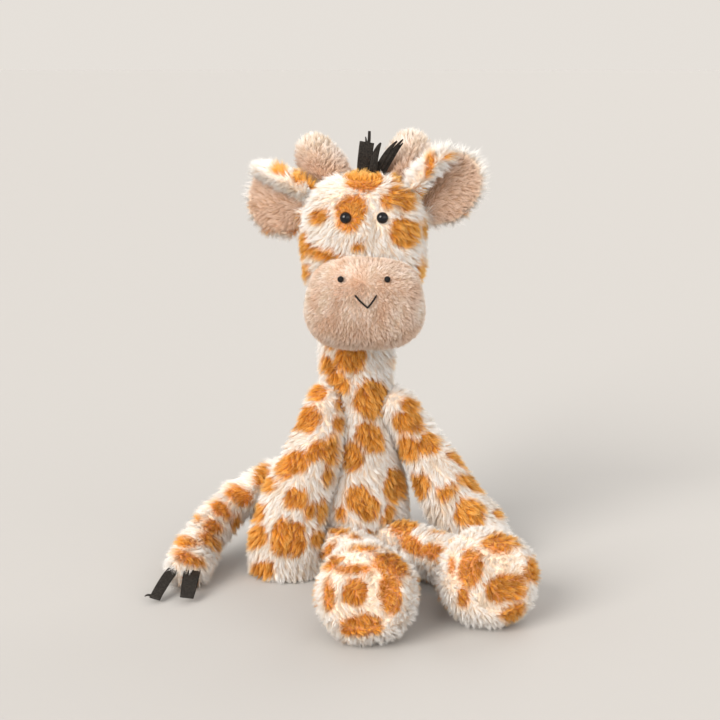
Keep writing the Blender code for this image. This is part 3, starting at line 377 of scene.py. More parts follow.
def tufts(points, size, seed):
    """The tuft that each point belongs to, as its centre and four random shares.

    Space is cut into cubes of the tuft's size with one random place in each,
    and a point belongs to the nearest place of the 27 cubes round it.
    """
    home = np.floor(points / size)
    best = np.full(len(points), np.inf)
    centre = np.zeros_like(points)
    shares = np.zeros((len(points), 4))
    for step in itertools.product((-1, 0, 1), repeat=3):
        cell = home + step
        drawn = lattice_random(cell, seed, 7)
        place = (cell + drawn[:, :3]) * size
        away = np.sum((points - place) ** 2, axis=1)
        near = away < best
        best = np.where(near, away, best)
        centre[near] = place[near]
        shares[near] = drawn[near, 3:]
    return centre, shares


def ripples(points, wavelength, seed):
    """A smooth wandering value about zero, the sum of six sines in random directions."""
    rng = repeatable(seed)
    waves = unit(rng.normal(size=(6, 3))) * (2.0 * math.pi / wavelength)
    waves *= rng.uniform(0.7, 1.5, size=(6, 1))
    phases = rng.uniform(0.0, 2.0 * math.pi, size=6)
    return np.sin(points @ waves.T + phases).sum(axis=1) / 3.0


def to_photo(points):
    """Where points show in the photograph, in pixels across and down.

    The camera is a pinhole: the place across and the place up are each divided
    by the depth along its axis and multiplied by the focus.
    """
    offset = points - CAMERA_PLACE
    sine, cosine = math.sin(CAMERA_DIP), math.cos(CAMERA_DIP)
    depth = offset[:, 1] * cosine - offset[:, 2] * sine
    up = offset[:, 1] * sine + offset[:, 2] * cosine
    middle = PHOTO_PIXELS / 2.0
    return np.stack((middle + CAMERA_FOCUS * offset[:, 0] / depth,
                     middle - CAMERA_FOCUS * up / depth), axis=1)


def ease(value, low, high):
    """A smooth step from 0 at low to 1 at high."""
    share = np.clip((value - low) / (high - low), 0.0, 1.0)
    return share * share * (3.0 - 2.0 * share)


@functools.lru_cache(maxsize=None)
def tree_of(*nodes):
    """A search tree over the faces of some CAD nodes."""
    points, faces = [], []
    for node in nodes:
        data = frame["nodes"][node].data
        start = len(points)
        points.extend(vert.co for vert in data.vertices)
        faces.extend([start + k for k in face.vertices] for face in data.polygons)
    return BVHTree.FromPolygons(points, faces)


def photo_spot(tree, x, y, depth):
    """The place on a node that a pixel of the photograph shows.

    A ray goes from the camera through the pixel. Where it misses, the place is
    the nearest one to the ray's point at the given depth.
    """
    right = (x - PHOTO_PIXELS / 2.0) / CAMERA_FOCUS
    up = (PHOTO_PIXELS / 2.0 - y) / CAMERA_FOCUS
    sine, cosine = math.sin(CAMERA_DIP), math.cos(CAMERA_DIP)
    way = Vector((right, cosine + up * sine, up * cosine - sine)).normalized()
    start = Vector(CAMERA_PLACE)
    place = tree.ray_cast(start, way)[0]
    if place is None:
        place = tree.find_nearest(start + way * depth)[0]
    return np.array(place)


class Patches:
    """The orange patches of one node.

    Those of the photograph are ellipses in its pixels, and each one ends at a
    distance from the place that its middle shows. Where the photograph shows
    nothing of the node, patches of the same kind are placed one after
    another, each a spacing from the last and clear of what is seen. The nodes
    that the node wears, such as a sole, take its patches and hide none.
    """

    def __init__(self, node, worn=()):
        self.ellipses, spacing, radius, seed = PATCHES[node]
        rng = repeatable(seed)
        own = tree_of(node)
        every = tree_of(*(name for name in frame["nodes"] if name not in worn))
        points, normals = points_and_normals(frame["nodes"][node].data)
        depth = np.linalg.norm(points.mean(0) - CAMERA_PLACE)
        self.spots = [photo_spot(own, row[0], row[1], depth) for row in self.ellipses]
        seen = self.seen(points, normals, every)
        orange = points[self.photographed(points) > ORANGE_LEAST]
        avoided = ((orange, CLEAR_OF_ORANGE * radius), (points[seen], CLEAR_OF_SEEN * radius))
        taken = []
        for index in rng.permutation(np.flatnonzero(~seen)):
            place = points[index]
            if all(np.linalg.norm(place - points[k]) > spacing for k in taken) and all(
                    np.linalg.norm(others - place, axis=1).min(initial=1.0) > least
                    for others, least in avoided):
                taken.append(index)
        self.places = points[taken]
        self.normals = normals[taken]
        self.sizes = radius * rng.uniform(*SPOT_SIZES, size=len(taken))
        self.turns = rng.uniform(0.0, math.pi, size=len(taken))
        self.slims = rng.uniform(*SPOT_WIDTHS, size=len(taken))

    def seen(self, points, normals, every):
        """Which points the photograph shows: they face the camera and nothing hides them."""
        facing = np.sum(normals * unit(CAMERA_PLACE - points), axis=1)
        seen = facing > SEEN_FACING
        for index in np.flatnonzero(seen):
            start = Vector(points[index] + normals[index] * SEEN_LIFT)
            way = Vector(CAMERA_PLACE) - start
            seen[index] = every.ray_cast(start, way.normalized(), way.length)[0] is None
        return seen

    def photographed(self, points):
        """How far each point lies in a patch that the photograph shows, 0 to 1.

        The distance to an ellipse's edge is (1 - length of the scaled offset)
        times its smaller half size, in pixels, and a ripple moves the edge by
        up to its whole height on a patch of the usual size.
        """
        usual = 9.0
        pixels = to_photo(points)
        stir = ripples(points, 0.011, 5) * 2.0 + ripples(points, 0.0045, 6) * 0.9
        deepest = np.full(len(points), -1e3)
        for (x, y, wide, high, turn), spot in zip(self.ellipses, self.spots):
            angle = math.radians(turn)
            right = pixels[:, 0] - x
            down = pixels[:, 1] - y
            along = (right * math.cos(angle) + down * math.sin(angle)) / wide
            beside = (down * math.cos(angle) - right * math.sin(angle)) / high
            away = np.linalg.norm(points - spot, axis=1) / PATCH_REACH
            reach = (np.abs(along) ** PATCH_BLOCKY + np.abs(beside) ** PATCH_BLOCKY
                     + away ** 6.0) ** (1 / PATCH_BLOCKY)
            small = min(wide, high)
            inside = (1.0 - reach) * small + stir * min(1.0, small / usual) + PATCH_SWELL
            deepest = np.maximum(deepest, inside)
        return ease(deepest, -PATCH_SOFT, PATCH_SOFT)

    def unseen(self, points):
        """How far each point lies in a patch that the photograph doesn't show, 0 to 1.

        Each is an ellipsoid with two axes in the cloth, and a ripple moves its edge.
        """
        deepest = np.full(len(points), -1.0)
        stir = ripples(points, 0.013, 8) * 0.0014 + ripples(points, 0.005, 9) * 0.0006
        for place, normal, size, turn, slim in zip(
                self.places, self.normals, self.sizes, self.turns, self.slims):
            side, other = square_to(normal, (0.3, 0.2, 1.0))
            first = side * math.cos(turn) + other * math.sin(turn)
            second = other * math.cos(turn) - side * math.sin(turn)
            offset = (points - place) / size
            reach = np.sqrt((offset @ first) ** 2 + (offset @ second / slim) ** 2
                            + (offset @ normal / SPOT_DEPTH) ** 2)
            deepest = np.maximum(deepest, (1.0 - reach) * size + stir)
        return ease(deepest, -SPOT_SOFT, SPOT_SOFT)

    def cover(self, points, normals):
        """How far each point lies in any patch, 0 to 1."""
        return np.maximum(self.photographed(points), self.unseen(points))


# Shading


class Socket:
    """A node's output, on which sums and products add Math nodes."""

    def __init__(self, nodes, link):
        self.nodes = nodes
        self.link = link

    def _math(self, operation, first, second):
        return self.nodes.make("ShaderNodeMath", {"operation": operation},
                               {0: first, 1: second})

    def __add__(self, other):
        return self._math("ADD", self, other)

    def __radd__(self, other):
        return self._math("ADD", other, self)

    def __mul__(self, other):
        return self._math("MULTIPLY", self, other)

    def __rmul__(self, other):
        return self._math("MULTIPLY", other, self)

    def __or__(self, other):
        """The larger of two masks."""
        return self._math("MAXIMUM", self, other)


class Nodes:
    """A node tree and the one way in which nodes are added to it."""

    def __init__(self, tree):
        self.tree = tree

    def make(self, kind, settings=None, values=None, output=0):
        """A node of a type, its settings made first and then its sockets."""
        node = self.tree.nodes.new(kind)
        for key, value in (settings or {}).items():
            if key == "stops":
                ramp = node.color_ramp.elements
                while len(ramp) < len(value):
                    ramp.new(0.5)
                for element, (place, colour) in zip(ramp, value):
                    element.position = place
                    element.color = (*colour, 1.0)
            else:
                setattr(node, key, value)
        for key, value in (values or {}).items():
            if isinstance(value, Socket):
                self.tree.links.new(value.link, node.inputs[key])
            else:
                node.inputs[key].default_value = value
        return Socket(self, node.outputs[output])


class Finish(Nodes):
    """A Principled material and the nodes that vary it."""

    def __init__(self, name, colour, **fixed):
        self.material = bpy.data.materials.new(name)
        self.material.use_nodes = True
        super().__init__(self.material.node_tree)
        self.shader = self.tree.nodes["Principled BSDF"]
        self.shader.inputs["Base Color"].default_value = (*colour, 1.0)
        self.material.diffuse_color = (*colour, 1.0)
        for key, value in fixed.items():
            self.shader.inputs[key.replace("_", " ")].default_value = value

    def attribute(self, name):
        """A number that the mesh carries."""
        return self.make("ShaderNodeAttribute", {"attribute_name": name}, output="Fac")

    def place(self):
        """The Object coordinates."""
        return self.make("ShaderNodeTexCoord", output="Object")

    def noise(self, scale, detail=2.0):
        """Noise of a scale in cycles a metre."""
        return self.make("ShaderNodeTexNoise", None,
                         {"Vector": self.place(), "Scale": scale, "Detail": detail})

    def ramp(self, value, *stops):
        """Colours along a value."""
        return self.make("ShaderNodeValToRGB", {"stops": stops}, {"Fac": value})

    def mix(self, share, first, second, blend="MIX"):
        """One colour turning into another, or multiplied by it."""
        sockets = {0: share}
        for key, value in ((6, first), (7, second)):
            sockets[key] = value if isinstance(value, Socket) else (*value, 1.0)
        return self.make("ShaderNodeMix", {"data_type": "RGBA", "blend_type": blend},
                         sockets, output=2)

    def bump(self, height, strength, distance):
        """Bump from a height, fed to the normal."""
        self.drive("Normal", self.make("ShaderNodeBump", None, {
            "Height": height, "Strength": strength, "Distance": distance}, output="Normal"))

    def drive(self, name, value):
        """Feed one of the shader's sockets."""
        self.tree.links.new(value.link, self.shader.inputs[name])


def pile_finish(name, light, dark):
    """Plush strands: painted shade along each one, from the dark root deep in the pile to a painted
    highlight at the tip.

    Light and dark are each the root, middle and tip colours of the plain and
    of the patch fibres. The patch, tone and along values come from the mesh.
    """
    finish = Finish(name, light[1], Roughness=0.9, Sheen_Weight=0.08, Sheen_Roughness=0.4,
                    Specular_IOR_Level=0.05)
    along, tone, patch = (finish.attribute(key) for key in ("along", "tone", "patch"))
    # Along each strand: painted shade at the root and a painted highlight at the tip
    plain, spotted = (finish.ramp(along, *zip(FIBRE_HEIGHTS, colours))
                      for colours in (light, dark))
    shades = (finish.ramp(tone, *stops) for stops in (PLAIN_SHADES, PATCH_SHADES))
    finish.drive("Base Color", finish.mix(1.0, finish.mix(patch, plain, spotted),
                                          finish.mix(patch, *shades), "MULTIPLY"))
    return finish.material


def skin_finish(name, light, dark):
    """The knitted backing under the pile, in the patch's colours at the fibres' roots, which hold
    the painted shade deep in the pile.
    """
    finish = Finish(name, light, Roughness=0.95, Specular_IOR_Level=0.1)
    colour = finish.mix(finish.attribute("patch"), light, dark)
    worn = finish.mix(finish.noise(900.0, 3.0), colour, tuple(0.7 * part for part in light))
    finish.drive("Base Color", finish.mix(0.35, colour, worn))
    finish.bump(finish.noise(1400.0), 0.5, 0.0004)
    return finish.material


@functools.lru_cache(maxsize=None)
def plush_finish(kind, part):
    """The pile or the backing of one plush, made once."""
    light, dark = PLUSHES[kind]
    if part == "pile":
        return pile_finish(kind + "_pile", light, dark)
    # The backing takes the fibres' root colours, with their painted shade
    return skin_finish(kind + "_backing", light[0], dark[0])


# Meshes


def dense_mesh(name, points, faces_of, starts):
    """A mesh from arrays: points, one vertex index a corner, and face starts."""
    mesh = bpy.data.meshes.new(name)
    mesh.vertices.add(len(points))
    mesh.vertices.foreach_set("co", points.astype(np.float32).ravel())
    mesh.loops.add(len(faces_of))
    mesh.loops.foreach_set("vertex_index", faces_of.astype(np.int32))
    mesh.polygons.add(len(starts))
    mesh.polygons.foreach_set("loop_start", starts.astype(np.int32))
    mesh.update(calc_edges=True)
    return mesh


def add_value(mesh, name, values):
    """A number on each vertex."""
    layer = mesh.attributes.new(name, "FLOAT", "POINT")
    layer.data.foreach_set("value", np.asarray(values, np.float32))


def add_object(name, mesh):
    """A new object in the scene."""
    obj = bpy.data.objects.new(name, mesh)
    bpy.context.scene.collection.objects.link(obj)
    return obj


def grid_mesh(name, grid, closed_across=True):
    """A mesh over a grid of points (rows, columns, 3), its columns joined round.

    Each row's ends meet when it is closed across. The first and last rows are
    closed by a point each.
    """
    rows, columns, _ = grid.shape
    index = np.arange(rows * columns).reshape(rows, columns)
    after = np.roll(index, -1, axis=1)
    if not closed_across:
        index, after = index[:, :-1], after[:, :-1]
    quads = np.stack((index[:-1], after[:-1], after[1:], index[1:]), axis=-1).reshape(-1, 4)
    points = grid.reshape(-1, 3)
    faces = [quads.ravel()]
    sizes = [np.full(len(quads), 4)]
    if closed_across:
        first, last = len(points), len(points) + 1
        points = np.concatenate((points, grid[0].mean(0)[None], grid[-1].mean(0)[None]))
        for centre, ring, flip in ((first, index[0], True), (last, index[-1], False)):
            nxt = np.roll(ring, -1)
            middle = np.full(columns, centre)
            fan = (middle, nxt, ring) if flip else (middle, ring, nxt)
            faces.append(np.stack(fan, axis=-1).ravel())
            sizes.append(np.full(columns, 3))
    starts = np.concatenate(([0], np.cumsum(np.concatenate(sizes))[:-1]))
    mesh = dense_mesh(name, points, np.concatenate(faces), starts)
    work = bmesh.new()
    work.from_mesh(mesh)
    bmesh.ops.remove_doubles(work, verts=work.verts, dist=1e-6)
    bmesh.ops.recalc_face_normals(work, faces=work.faces)
    work.to_mesh(mesh)
    work.free()
    mesh.shade_smooth()
    return mesh


def grids_mesh(name, grids):
    """Several closed grids as one mesh."""
    work = bmesh.new()
    for grid in grids:
        part = grid_mesh(name + "_part", grid)
        work.from_mesh(part)
        bpy.data.meshes.remove(part)
    mesh = bpy.data.meshes.new(name)
    work.to_mesh(mesh)
    work.free()
    mesh.shade_smooth()
    return mesh


def finish_piece(obj, body, slot, *nodes):
    """Tie a finished piece to its body and hide the nodes it stands for. The slot is not used."""
    if nodes:
        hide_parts(*nodes)
    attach(obj, body)
    return obj


def add_piece(name, grids, finish, body, slot, node):
    """A piece made of closed grids, tied to its body and to the node it stands for."""
    obj = add_object(name, grids_mesh(name, grids))
    obj.data.materials.append(finish.material)
    return finish_piece(obj, body, slot, node)


def skin_sizes(node):
    """A stuffed node's row of skin sizes."""
    return SKINS[node.removesuffix("_left").removesuffix("_right")]


class Skin:
    """The soft skin of one stuffed node."""

    def __init__(self, node):
        """Copy the node, even out its faces, smooth it and give it soft lumps.

        Each point moves along its normal by a ripple of the lumps' height, and
        no point lies lower than the lift, so that pile fits under it.
        """
        voxel, smooth, lumps, _ = skin_sizes(node)
        mesh = frame["nodes"][node].data.copy()
        work = bmesh.new()
        work.from_mesh(mesh)
        bmesh.ops.remove_doubles(work, verts=work.verts, dist=1e-5)
        work.to_mesh(mesh)
        work.free()
        obj = add_object(node + "_skin", mesh)
        remesh = obj.modifiers.new("even", "REMESH")
        remesh.mode = "VOXEL"
        remesh.voxel_size = voxel
        relax = obj.modifiers.new("relax", "SMOOTH")
        relax.factor = 0.5
        relax.iterations = smooth
        graph = bpy.context.evaluated_depsgraph_get()
        even = bpy.data.meshes.new_from_object(obj.evaluated_get(graph))
        obj.modifiers.clear()
        obj.data = even
        self.obj = obj
        self.node = node
        points, normals = points_and_normals(even)
        points = points + normals * (ripples(points, 0.022, 3) * lumps)[:, None]
        points[:, 2] = np.maximum(points[:, 2], SKIN_LIFT)
        even.vertices.foreach_set("co", points.astype(np.float32).ravel())
        even.update()
        even.shade_smooth()
        even.materials.clear()

    def roots(self, density, seed, weight):
        """Random places on the skin, so many a square metre, with their normals.

        A triangle is drawn with a chance in proportion to its area times its
        weight, and a place in it comes from two random shares.
        """
        data = self.obj.data
        points, normals = points_and_normals(data)
        data.calc_loop_triangles()
        corners = np.zeros(len(data.loop_triangles) * 3, np.int32)
        data.loop_triangles.foreach_get("vertices", corners)
        corners = corners.reshape(-1, 3)
        a, b, c = (points[corners[:, k]] for k in range(3))
        ways = np.cross(b - a, c - a)
        area = 0.5 * np.linalg.norm(ways, axis=1) * weight((a + b + c) / 3.0, unit(ways))
        rng = repeatable(seed)
        count = int(area.sum() * density)
        drawn = np.searchsorted(np.cumsum(area) / area.sum(), rng.random(count))
        pick = corners[np.minimum(drawn, len(area) - 1)]
        first, second = rng.random(count), rng.random(count)
        over = first + second > 1.0
        first = np.where(over, 1.0 - first, first)
        second = np.where(over, 1.0 - second, second)
        shares = np.stack((1.0 - first - second, first, second))[..., None]
        spots, ways = (sum(shares[k] * rows[pick[:, k]] for k in range(3))
                       for rows in (points, normals))
        return spots, unit(ways)

    def paint(self, cover):
        """Store how far each vertex lies in a patch."""
        add_value(self.obj.data, "patch", cover(*points_and_normals(self.obj.data)))


def free_of(node, *others):
    """A weight that is 0 where a place of a node lies too near to other solids."""
    reach = skin_sizes(node)[3]
    trees = [tree_of(name) for name in others]

    def weight(centres, ways):
        return np.array([all(tree.find_nearest(Vector(place), reach)[3] is None
                             for tree in trees) for place in centres], float)

    return weight


def product(*factors):
    """A weight or a length scale that multiplies several."""
    return lambda *places: math.prod(factor(*places) for factor in factors)


class Coat:
    """The pile of one piece: how long, how dense, and which way it lies.

    Pile and width are a strand's length and half thickness, tuft and lock the
    sizes of its clumps, lean its angle from upright in radians, pull how far
    tips draw together, stray how far each goes its own way, tone how pale the
    tufts are, and density the strands on a square metre.
    """

    def __init__(self, kind, slot, density, pile, width, lean, tuft, lock,
                 pull=0.7, stray=0.10, tone=0.60):
        self.kind, self.slot, self.density = kind, slot, density
        self.pile, self.width, self.lean = pile, width, lean
        self.tuft, self.lock, self.pull = tuft, lock, pull
        self.stray, self.tone = stray, tone

    def strands(self, spots, normals, flow, scale, seed):
        """The middle and tip of each strand, its tone and the normal it is shaded by.

        A strand leaves the skin between the normal and the flow, and bends
        further into the flow and down. Its middle and tip are pulled towards
        the middle of its tuft, and each lock of tufts turns by its own angle.
        """
        rng = repeatable(seed)
        centre, tuft = tufts(spots, self.tuft, seed)
        lock = tufts(spots, self.lock, seed + 1)[1]

        def differ(spread, of_lock, of_tuft):
            """What the lock, the tuft and the strand itself add to a value."""
            return (spread[0] * (lock[:, of_lock] - 0.5) + spread[1] * (tuft[:, of_tuft] - 0.5)
                    + spread[2] * rng.normal(size=len(spots)))

        flow = unit(across(flow, normals) + 1e-6)
        turn = differ((*TURN_SPREAD, self.stray), 0, 0)[:, None]
        comb = flow * np.cos(turn) + np.cross(normals, flow) * np.sin(turn)
        short = rng.random(len(spots)) < SHORT_SHARE
        length = np.clip(MEAN_LENGTH + differ(LENGTH_SPREAD, 0, 1), *LENGTH_LIMITS)
        length = self.pile * scale * length * np.where(short, SHORT_LENGTH, 1.0)
        length = length[:, None]
        lean = (self.lean + differ(LEAN_SPREAD, 1, 2)) * np.where(short, SHORT_LEAN, 1.0)
        lean = np.clip(lean, *LEAN_LIMITS)[:, None]
        first = normals * np.cos(lean) + comb * np.sin(lean)
        second = unit(normals * np.cos(lean) * 0.6 + comb * np.sin(lean + 0.2)
                      + (0.0, 0.0, -SAG))
        middle = spots + first * length * 0.5
        tip = middle + second * length * 0.5
        toward = across(centre - spots, normals)
        far = np.linalg.norm(toward, axis=1, keepdims=True)
        toward = toward * np.minimum(1.0, self.tuft / np.maximum(far, 1e-9))
        middle = middle + toward * self.pull * 0.45
        tip = tip + toward * self.pull
        tone = np.clip(self.tone + differ(TONE_SPREAD, 2, 3), 0.0, 1.0)
        soft = unit(normals - 0.55 * toward / self.tuft)
        return middle, tip, tone, soft

    def mesh(self, name, spots, normals, flow, seed, cover, scale):
        """The coat as one mesh of closed three-sided spikes.

        Each spike has three points round its root and one at its tip, with a
        face across the root. Its normals lean towards those of its tuft,
        which shades the pile softly.
        """
        middle, tip, tone, soft = self.strands(spots, normals, flow, scale, seed)
        count = len(spots)
        rng = repeatable(seed + 7)
        spin = rng.uniform(0.0, 2.0 * math.pi, size=count)[:, None]
        root = spots - normals * ROOT_DEPTH
        axis = unit(tip - root)
        side = unit(np.cross(axis, normals) + 1e-7)
        other = np.cross(axis, side)
        width = self.width * rng.uniform(0.8, 1.2, size=count)[:, None, None]

        def outward(turn):
            """The way out of each spike at angles round it."""
            angle = (spin + turn)[..., None]
            return side[:, None] * np.cos(angle) + other[:, None] * np.sin(angle)

        points = np.concatenate((root[:, None] + outward(round_turn(3)) * width,
                                 tip[:, None]), axis=1)
        floor = FLOOR_GAP + FLOOR_SPREAD * rng.random((count, 1))
        points[..., 2] = np.maximum(points[..., 2], floor)
        shading = unit(soft[:, None] * SHADED_SOFT + SHADED_ROUND * outward(
            2.0 * math.pi * (SPIKE_SHARES[:, 0] - 1.0 / 6.0)))
        corners = (np.arange(count)[:, None] * 4 + SPIKE_CORNERS).ravel()
        mesh = dense_mesh(name, points.reshape(-1, 3), corners, np.arange(0, len(corners), 3))
        patch = np.round(cover(middle * 0.5 + tip * 0.5, normals) * PATCH_STEPS) / PATCH_STEPS
        tone = np.round(tone * TONE_STEPS) / TONE_STEPS
        add_value(mesh, "patch", np.repeat(patch, 4))
        add_value(mesh, "tone", np.repeat(tone, 4))
        add_value(mesh, "along", np.tile((0.0, 0.0, 0.0, 1.0), count))
        self.lay_out(mesh, patch, tone)
        mesh.shade_smooth()
        mesh.normals_split_custom_set(shading.reshape(-1, 3))
        return mesh

    def lay_out(self, mesh, patch, tone):
        """A UV map in which each shade of strand has one column.

        The column is the patch step times the tone steps plus the tone step,
        and the height in it is the share along the strand.
        """
        tones = TONE_STEPS + 1
        column = np.round(patch * PATCH_STEPS) * tones + np.round(tone * TONE_STEPS)
        u = (column[:, None] + 0.15 + 0.7 * SPIKE_SHARES[:, 0]) / ((PATCH_STEPS + 1) * tones)
        v = np.broadcast_to(SPIKE_SHARES[:, 1], u.shape)
        layer = mesh.uv_layers.new(name="OFBake")
        layer.data.foreach_set("uv", np.stack((u, v), axis=-1).astype(np.float32).ravel())


def away_from(root):
    """A flow that runs outwards from one place."""
    return lambda points, normals: points - root


def path_flow(path):
    """A flow that follows a path: each point takes the nearest stretch's direction."""
    knots = np.array(path, float)
    starts, ends = knots[:-1], knots[1:]
    ways = unit(ends - starts)

    def flow(points, normals):
        best = np.full(len(points), np.inf)
        out = np.zeros_like(points)
        for start, end, way in zip(starts, ends, ways):
            length = np.linalg.norm(end - start)
            share = np.clip((points - start) @ way, 0.0, length)
            away = np.linalg.norm(points - start - share[:, None] * way, axis=1)
            near = away < best
            best = np.where(near, away, best)
            out[near] = way
        return out

    return flow


def middle_of(node):
    """The middle of a node's box."""
    low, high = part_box(node)
    return (low + high) / 2.0


def on_front(node, spot, ring=0.0):
    """The point and normal of a node's front at a place seen from the front.

    With a ring, both are the means of eight places round the spot, which
    bridges a bore or a seat in the node.
    """
    places, normals = [], []
    for turn in round_turn(8 if ring else 1):
        start = Vector((spot.x + ring * math.cos(turn), spot.y - 0.05,
                        spot.z + ring * math.sin(turn)))
        place, normal, _, _ = tree_of(node).ray_cast(start, Vector((0.0, 1.0, 0.0)))
        places.append(place)
        normals.append(normal)
    return np.mean(places, axis=0), unit(np.mean(normals, axis=0))


def on_smile(share, peak=0.0, curve=1.0):
    """The point and normal of the smile at a share from -1 to 1 across it.

    It falls from both ends to its peak, by a power of the share of the way.
    """
    low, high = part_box("smile_stitch")
    arm = (share - peak) / (math.copysign(1.0, share - peak) - peak)
    return on_front("muzzle", Vector((
        (low.x + high.x + share * (high.x - low.x)) / 2.0, low.y,
        high.z - (high.z - low.z) * (1.0 - arm) ** curve)))


def frames_along(path, guide):
    """Two directions square to a path at each point, the first square to the guide too."""
    along = unit(np.gradient(path, axis=0))
    side = unit(np.cross(along, guide))
    return side, np.cross(along, side)


def tube_grid(path, radius):
    """A round tube's grid along a path, narrowed to its ends."""
    side, other = frames_along(path, (0.31, 0.87, 0.38))
    count = len(path)
    ends = np.minimum(1.0, np.minimum(np.arange(count) + 0.4, count - 0.6 - np.arange(count)))
    turn = round_turn(8)[None, :, None]
    wide = (radius * ends)[:, None, None]
    return path[:, None] + wide * (side[:, None] * np.cos(turn) + other[:, None] * np.sin(turn))


def strip_grid(path, wide, tip, face):
    """A thin strip's grid along a path: its half width, the share at its tip and its face.

    The cross-section is a flat oval, as wide as the half width and as thick as
    the ribbon, and it narrows towards the tip with a power of the distance.
    """
    side, other = frames_along(path, face)
    share = np.linspace(0.0, 1.0, len(path))[:, None, None]
    half = wide * (1.0 - (1.0 - tip) * share ** 2.2)
    turn = round_turn(12)[None, :, None]
    ripple = RIBBON_RIPPLE * np.sin(share * 9.0 + wide * 4000.0)
    flat = np.sign(np.cos(turn)) * np.abs(np.cos(turn)) ** 0.5
    return (path[:, None] + half * side[:, None] * flat
            + other[:, None] * (RIBBON_HALF * np.sin(turn) + ripple))


def ball_grid(rise, turn):
    """A unit ball's grid, from angles down from its top and angles round it."""
    rise, turn = rise[:, None], turn[None, :]
    return np.stack((np.sin(rise) * np.cos(turn), np.sin(rise) * np.sin(turn),
                     np.cos(rise) * np.ones_like(turn)), axis=-1)


def clear_of(centres, bare, full, least=0.35):
    """A weight and a length scale round small pieces that the pile keeps clear of.

    No strand grows nearer to a centre than the bare distance, and its length
    grows from the least share to the whole at the full distance.
    """
    centres = np.array(centres)

    def gap(points):
        away = np.linalg.norm(points[:, None] - centres[None], axis=2)
        return away.min(axis=1)

    def weight(points, ways):
        return (gap(points) > bare) * 1.0

    def scale(points):
        return least + (1.0 - least) * ease(gap(points), bare, full)

    return weight, scale


def grow(skin, name, body, coat, flow, cover, seed, weight, scale=None):
    """Grow a coat on a skin, in pieces of up to so many strands, from low to high."""
    spots, normals = skin.roots(coat.density, seed, weight)
    ways = flow(spots, normals)
    sizes = np.ones(len(spots)) if scale is None else scale(spots)
    groups = np.array_split(np.argsort(spots[:, 2], kind="stable"),
                            max(1, math.ceil(len(spots) / STRANDS_A_PIECE)))
    for number, group in enumerate(groups, 1):
        title = name if len(groups) == 1 else "{}_{}".format(name, number)
        mesh = coat.mesh(title, spots[group], normals[group], ways[group], seed, cover,
                         sizes[group])
        mesh.materials.append(plush_finish(coat.kind, "pile"))
        finish_piece(add_object(title, mesh), body, coat.slot)


def dress(node, body, coat, flow, cover, seed, weight, scale=None):
    """Give one stuffed node its skin and its coat, and tie both to its body."""
    skin = Skin(node)
    skin.paint(cover)
    skin.obj.data.materials.append(plush_finish(coat.kind, "backing"))
    finish_piece(skin.obj, body, coat.slot, node)
    grow(skin, node + "_pile", body, coat, flow, cover, seed, weight, scale)
    return skin


def dress_underside(node, body, cover, seed):
    """Dress a flat panel that the toy stands on, with short pile on its lower face alone."""
    dress(node, body, long_coat(thick=0.5, pile=0.0030, lean=1.2), down_flow, cover, seed,
          lambda centres, ways: (ways[:, 2] < -0.3) * 1.0)


def no_patch(points, normals):
    """No patch anywhere."""
    return np.zeros(len(points))


def down_flow(points, normals):
    """Pile that hangs down."""
    return np.tile((0.0, 0.0, -1.0), (len(points), 1))


def long_coat(thick=1.0, **changes):
    """The long patterned plush, as many times as thick as usual."""
    pile = bpy.context.scene.giraffe_pile
    return Coat(**{"kind": "patterned", "slot": "patterned_plush",
                   "density": pile.density * thick, "pile": pile.long_pile,
                   "width": pile.strand, "lean": 0.66, "tuft": 0.0029, "lock": 0.0095,
                   **changes})


def short_coat(thick=1.0, **changes):
    """The short beige plush, as many times as thick as usual."""
    pile = bpy.context.scene.giraffe_pile
    return Coat(**{"kind": "beige", "slot": "beige_plush",
                   "density": pile.short_density * thick, "pile": pile.short_pile,
                   "width": pile.strand * 0.8, "lean": 0.55, "tuft": 0.0020, "lock": 0.0070,
                   "pull": 0.55, **changes})


# Operators


class StageSizes(bpy.types.PropertyGroup):
    """The light, the floor and the backdrop."""

    key: bpy.props.FloatProperty(
        name="Key", description="Strength of the large lamp at the front left", default=3.7,
        min=0.0)
    fill: bpy.props.FloatProperty(
        name="Fill", description="Strength of the low lamp at the front right",
        default=1.35, min=0.0)
    rim: bpy.props.FloatProperty(
        name="Rim", description="Strength of the lamp behind", default=0.9, min=0.0)
    sky: bpy.props.FloatProperty(
        name="Sky", description="Strength of the even light from all round", default=0.80,
        min=0.0)
    backdrop: bpy.props.FloatVectorProperty(
        name="Backdrop", description="Shade of the backdrop as the camera sees it",
        subtype="COLOR", default=(0.79, 0.748, 0.698), size=3, min=0.0, max=1.0)
    floor_colour: bpy.props.FloatVectorProperty(
        name="Floor colour", description="Colour of the floor", subtype="COLOR",
        default=(0.475, 0.462, 0.447), size=3, min=0.0, max=1.0)


class PileSizes(bpy.types.PropertyGroup):
    """The lengths and densities of the plush."""

    long_pile: bpy.props.FloatProperty(
        name="Long pile", description="Length of the patterned plush", default=0.0066,
        min=0.001, unit="LENGTH")
    short_pile: bpy.props.FloatProperty(
        name="Short pile", description="Length of the beige plush", default=0.0034,
        min=0.001, unit="LENGTH")
    strand: bpy.props.FloatProperty(
        name="Strand", description="Half thickness of a strand at its root", default=0.00018,
        min=0.00005, unit="LENGTH")
    density: bpy.props.FloatProperty(
        name="Density", description="Strands on a square metre of long pile", default=3.1e6,
        min=1e4)
    short_density: bpy.props.FloatProperty(
        name="Short density", description="Strands on a square metre of short pile",
        default=6.0e6, min=1e4)


class Maker(bpy.types.Operator):
    """What the operators of this file share."""

    bl_options = {"REGISTER", "UNDO"}


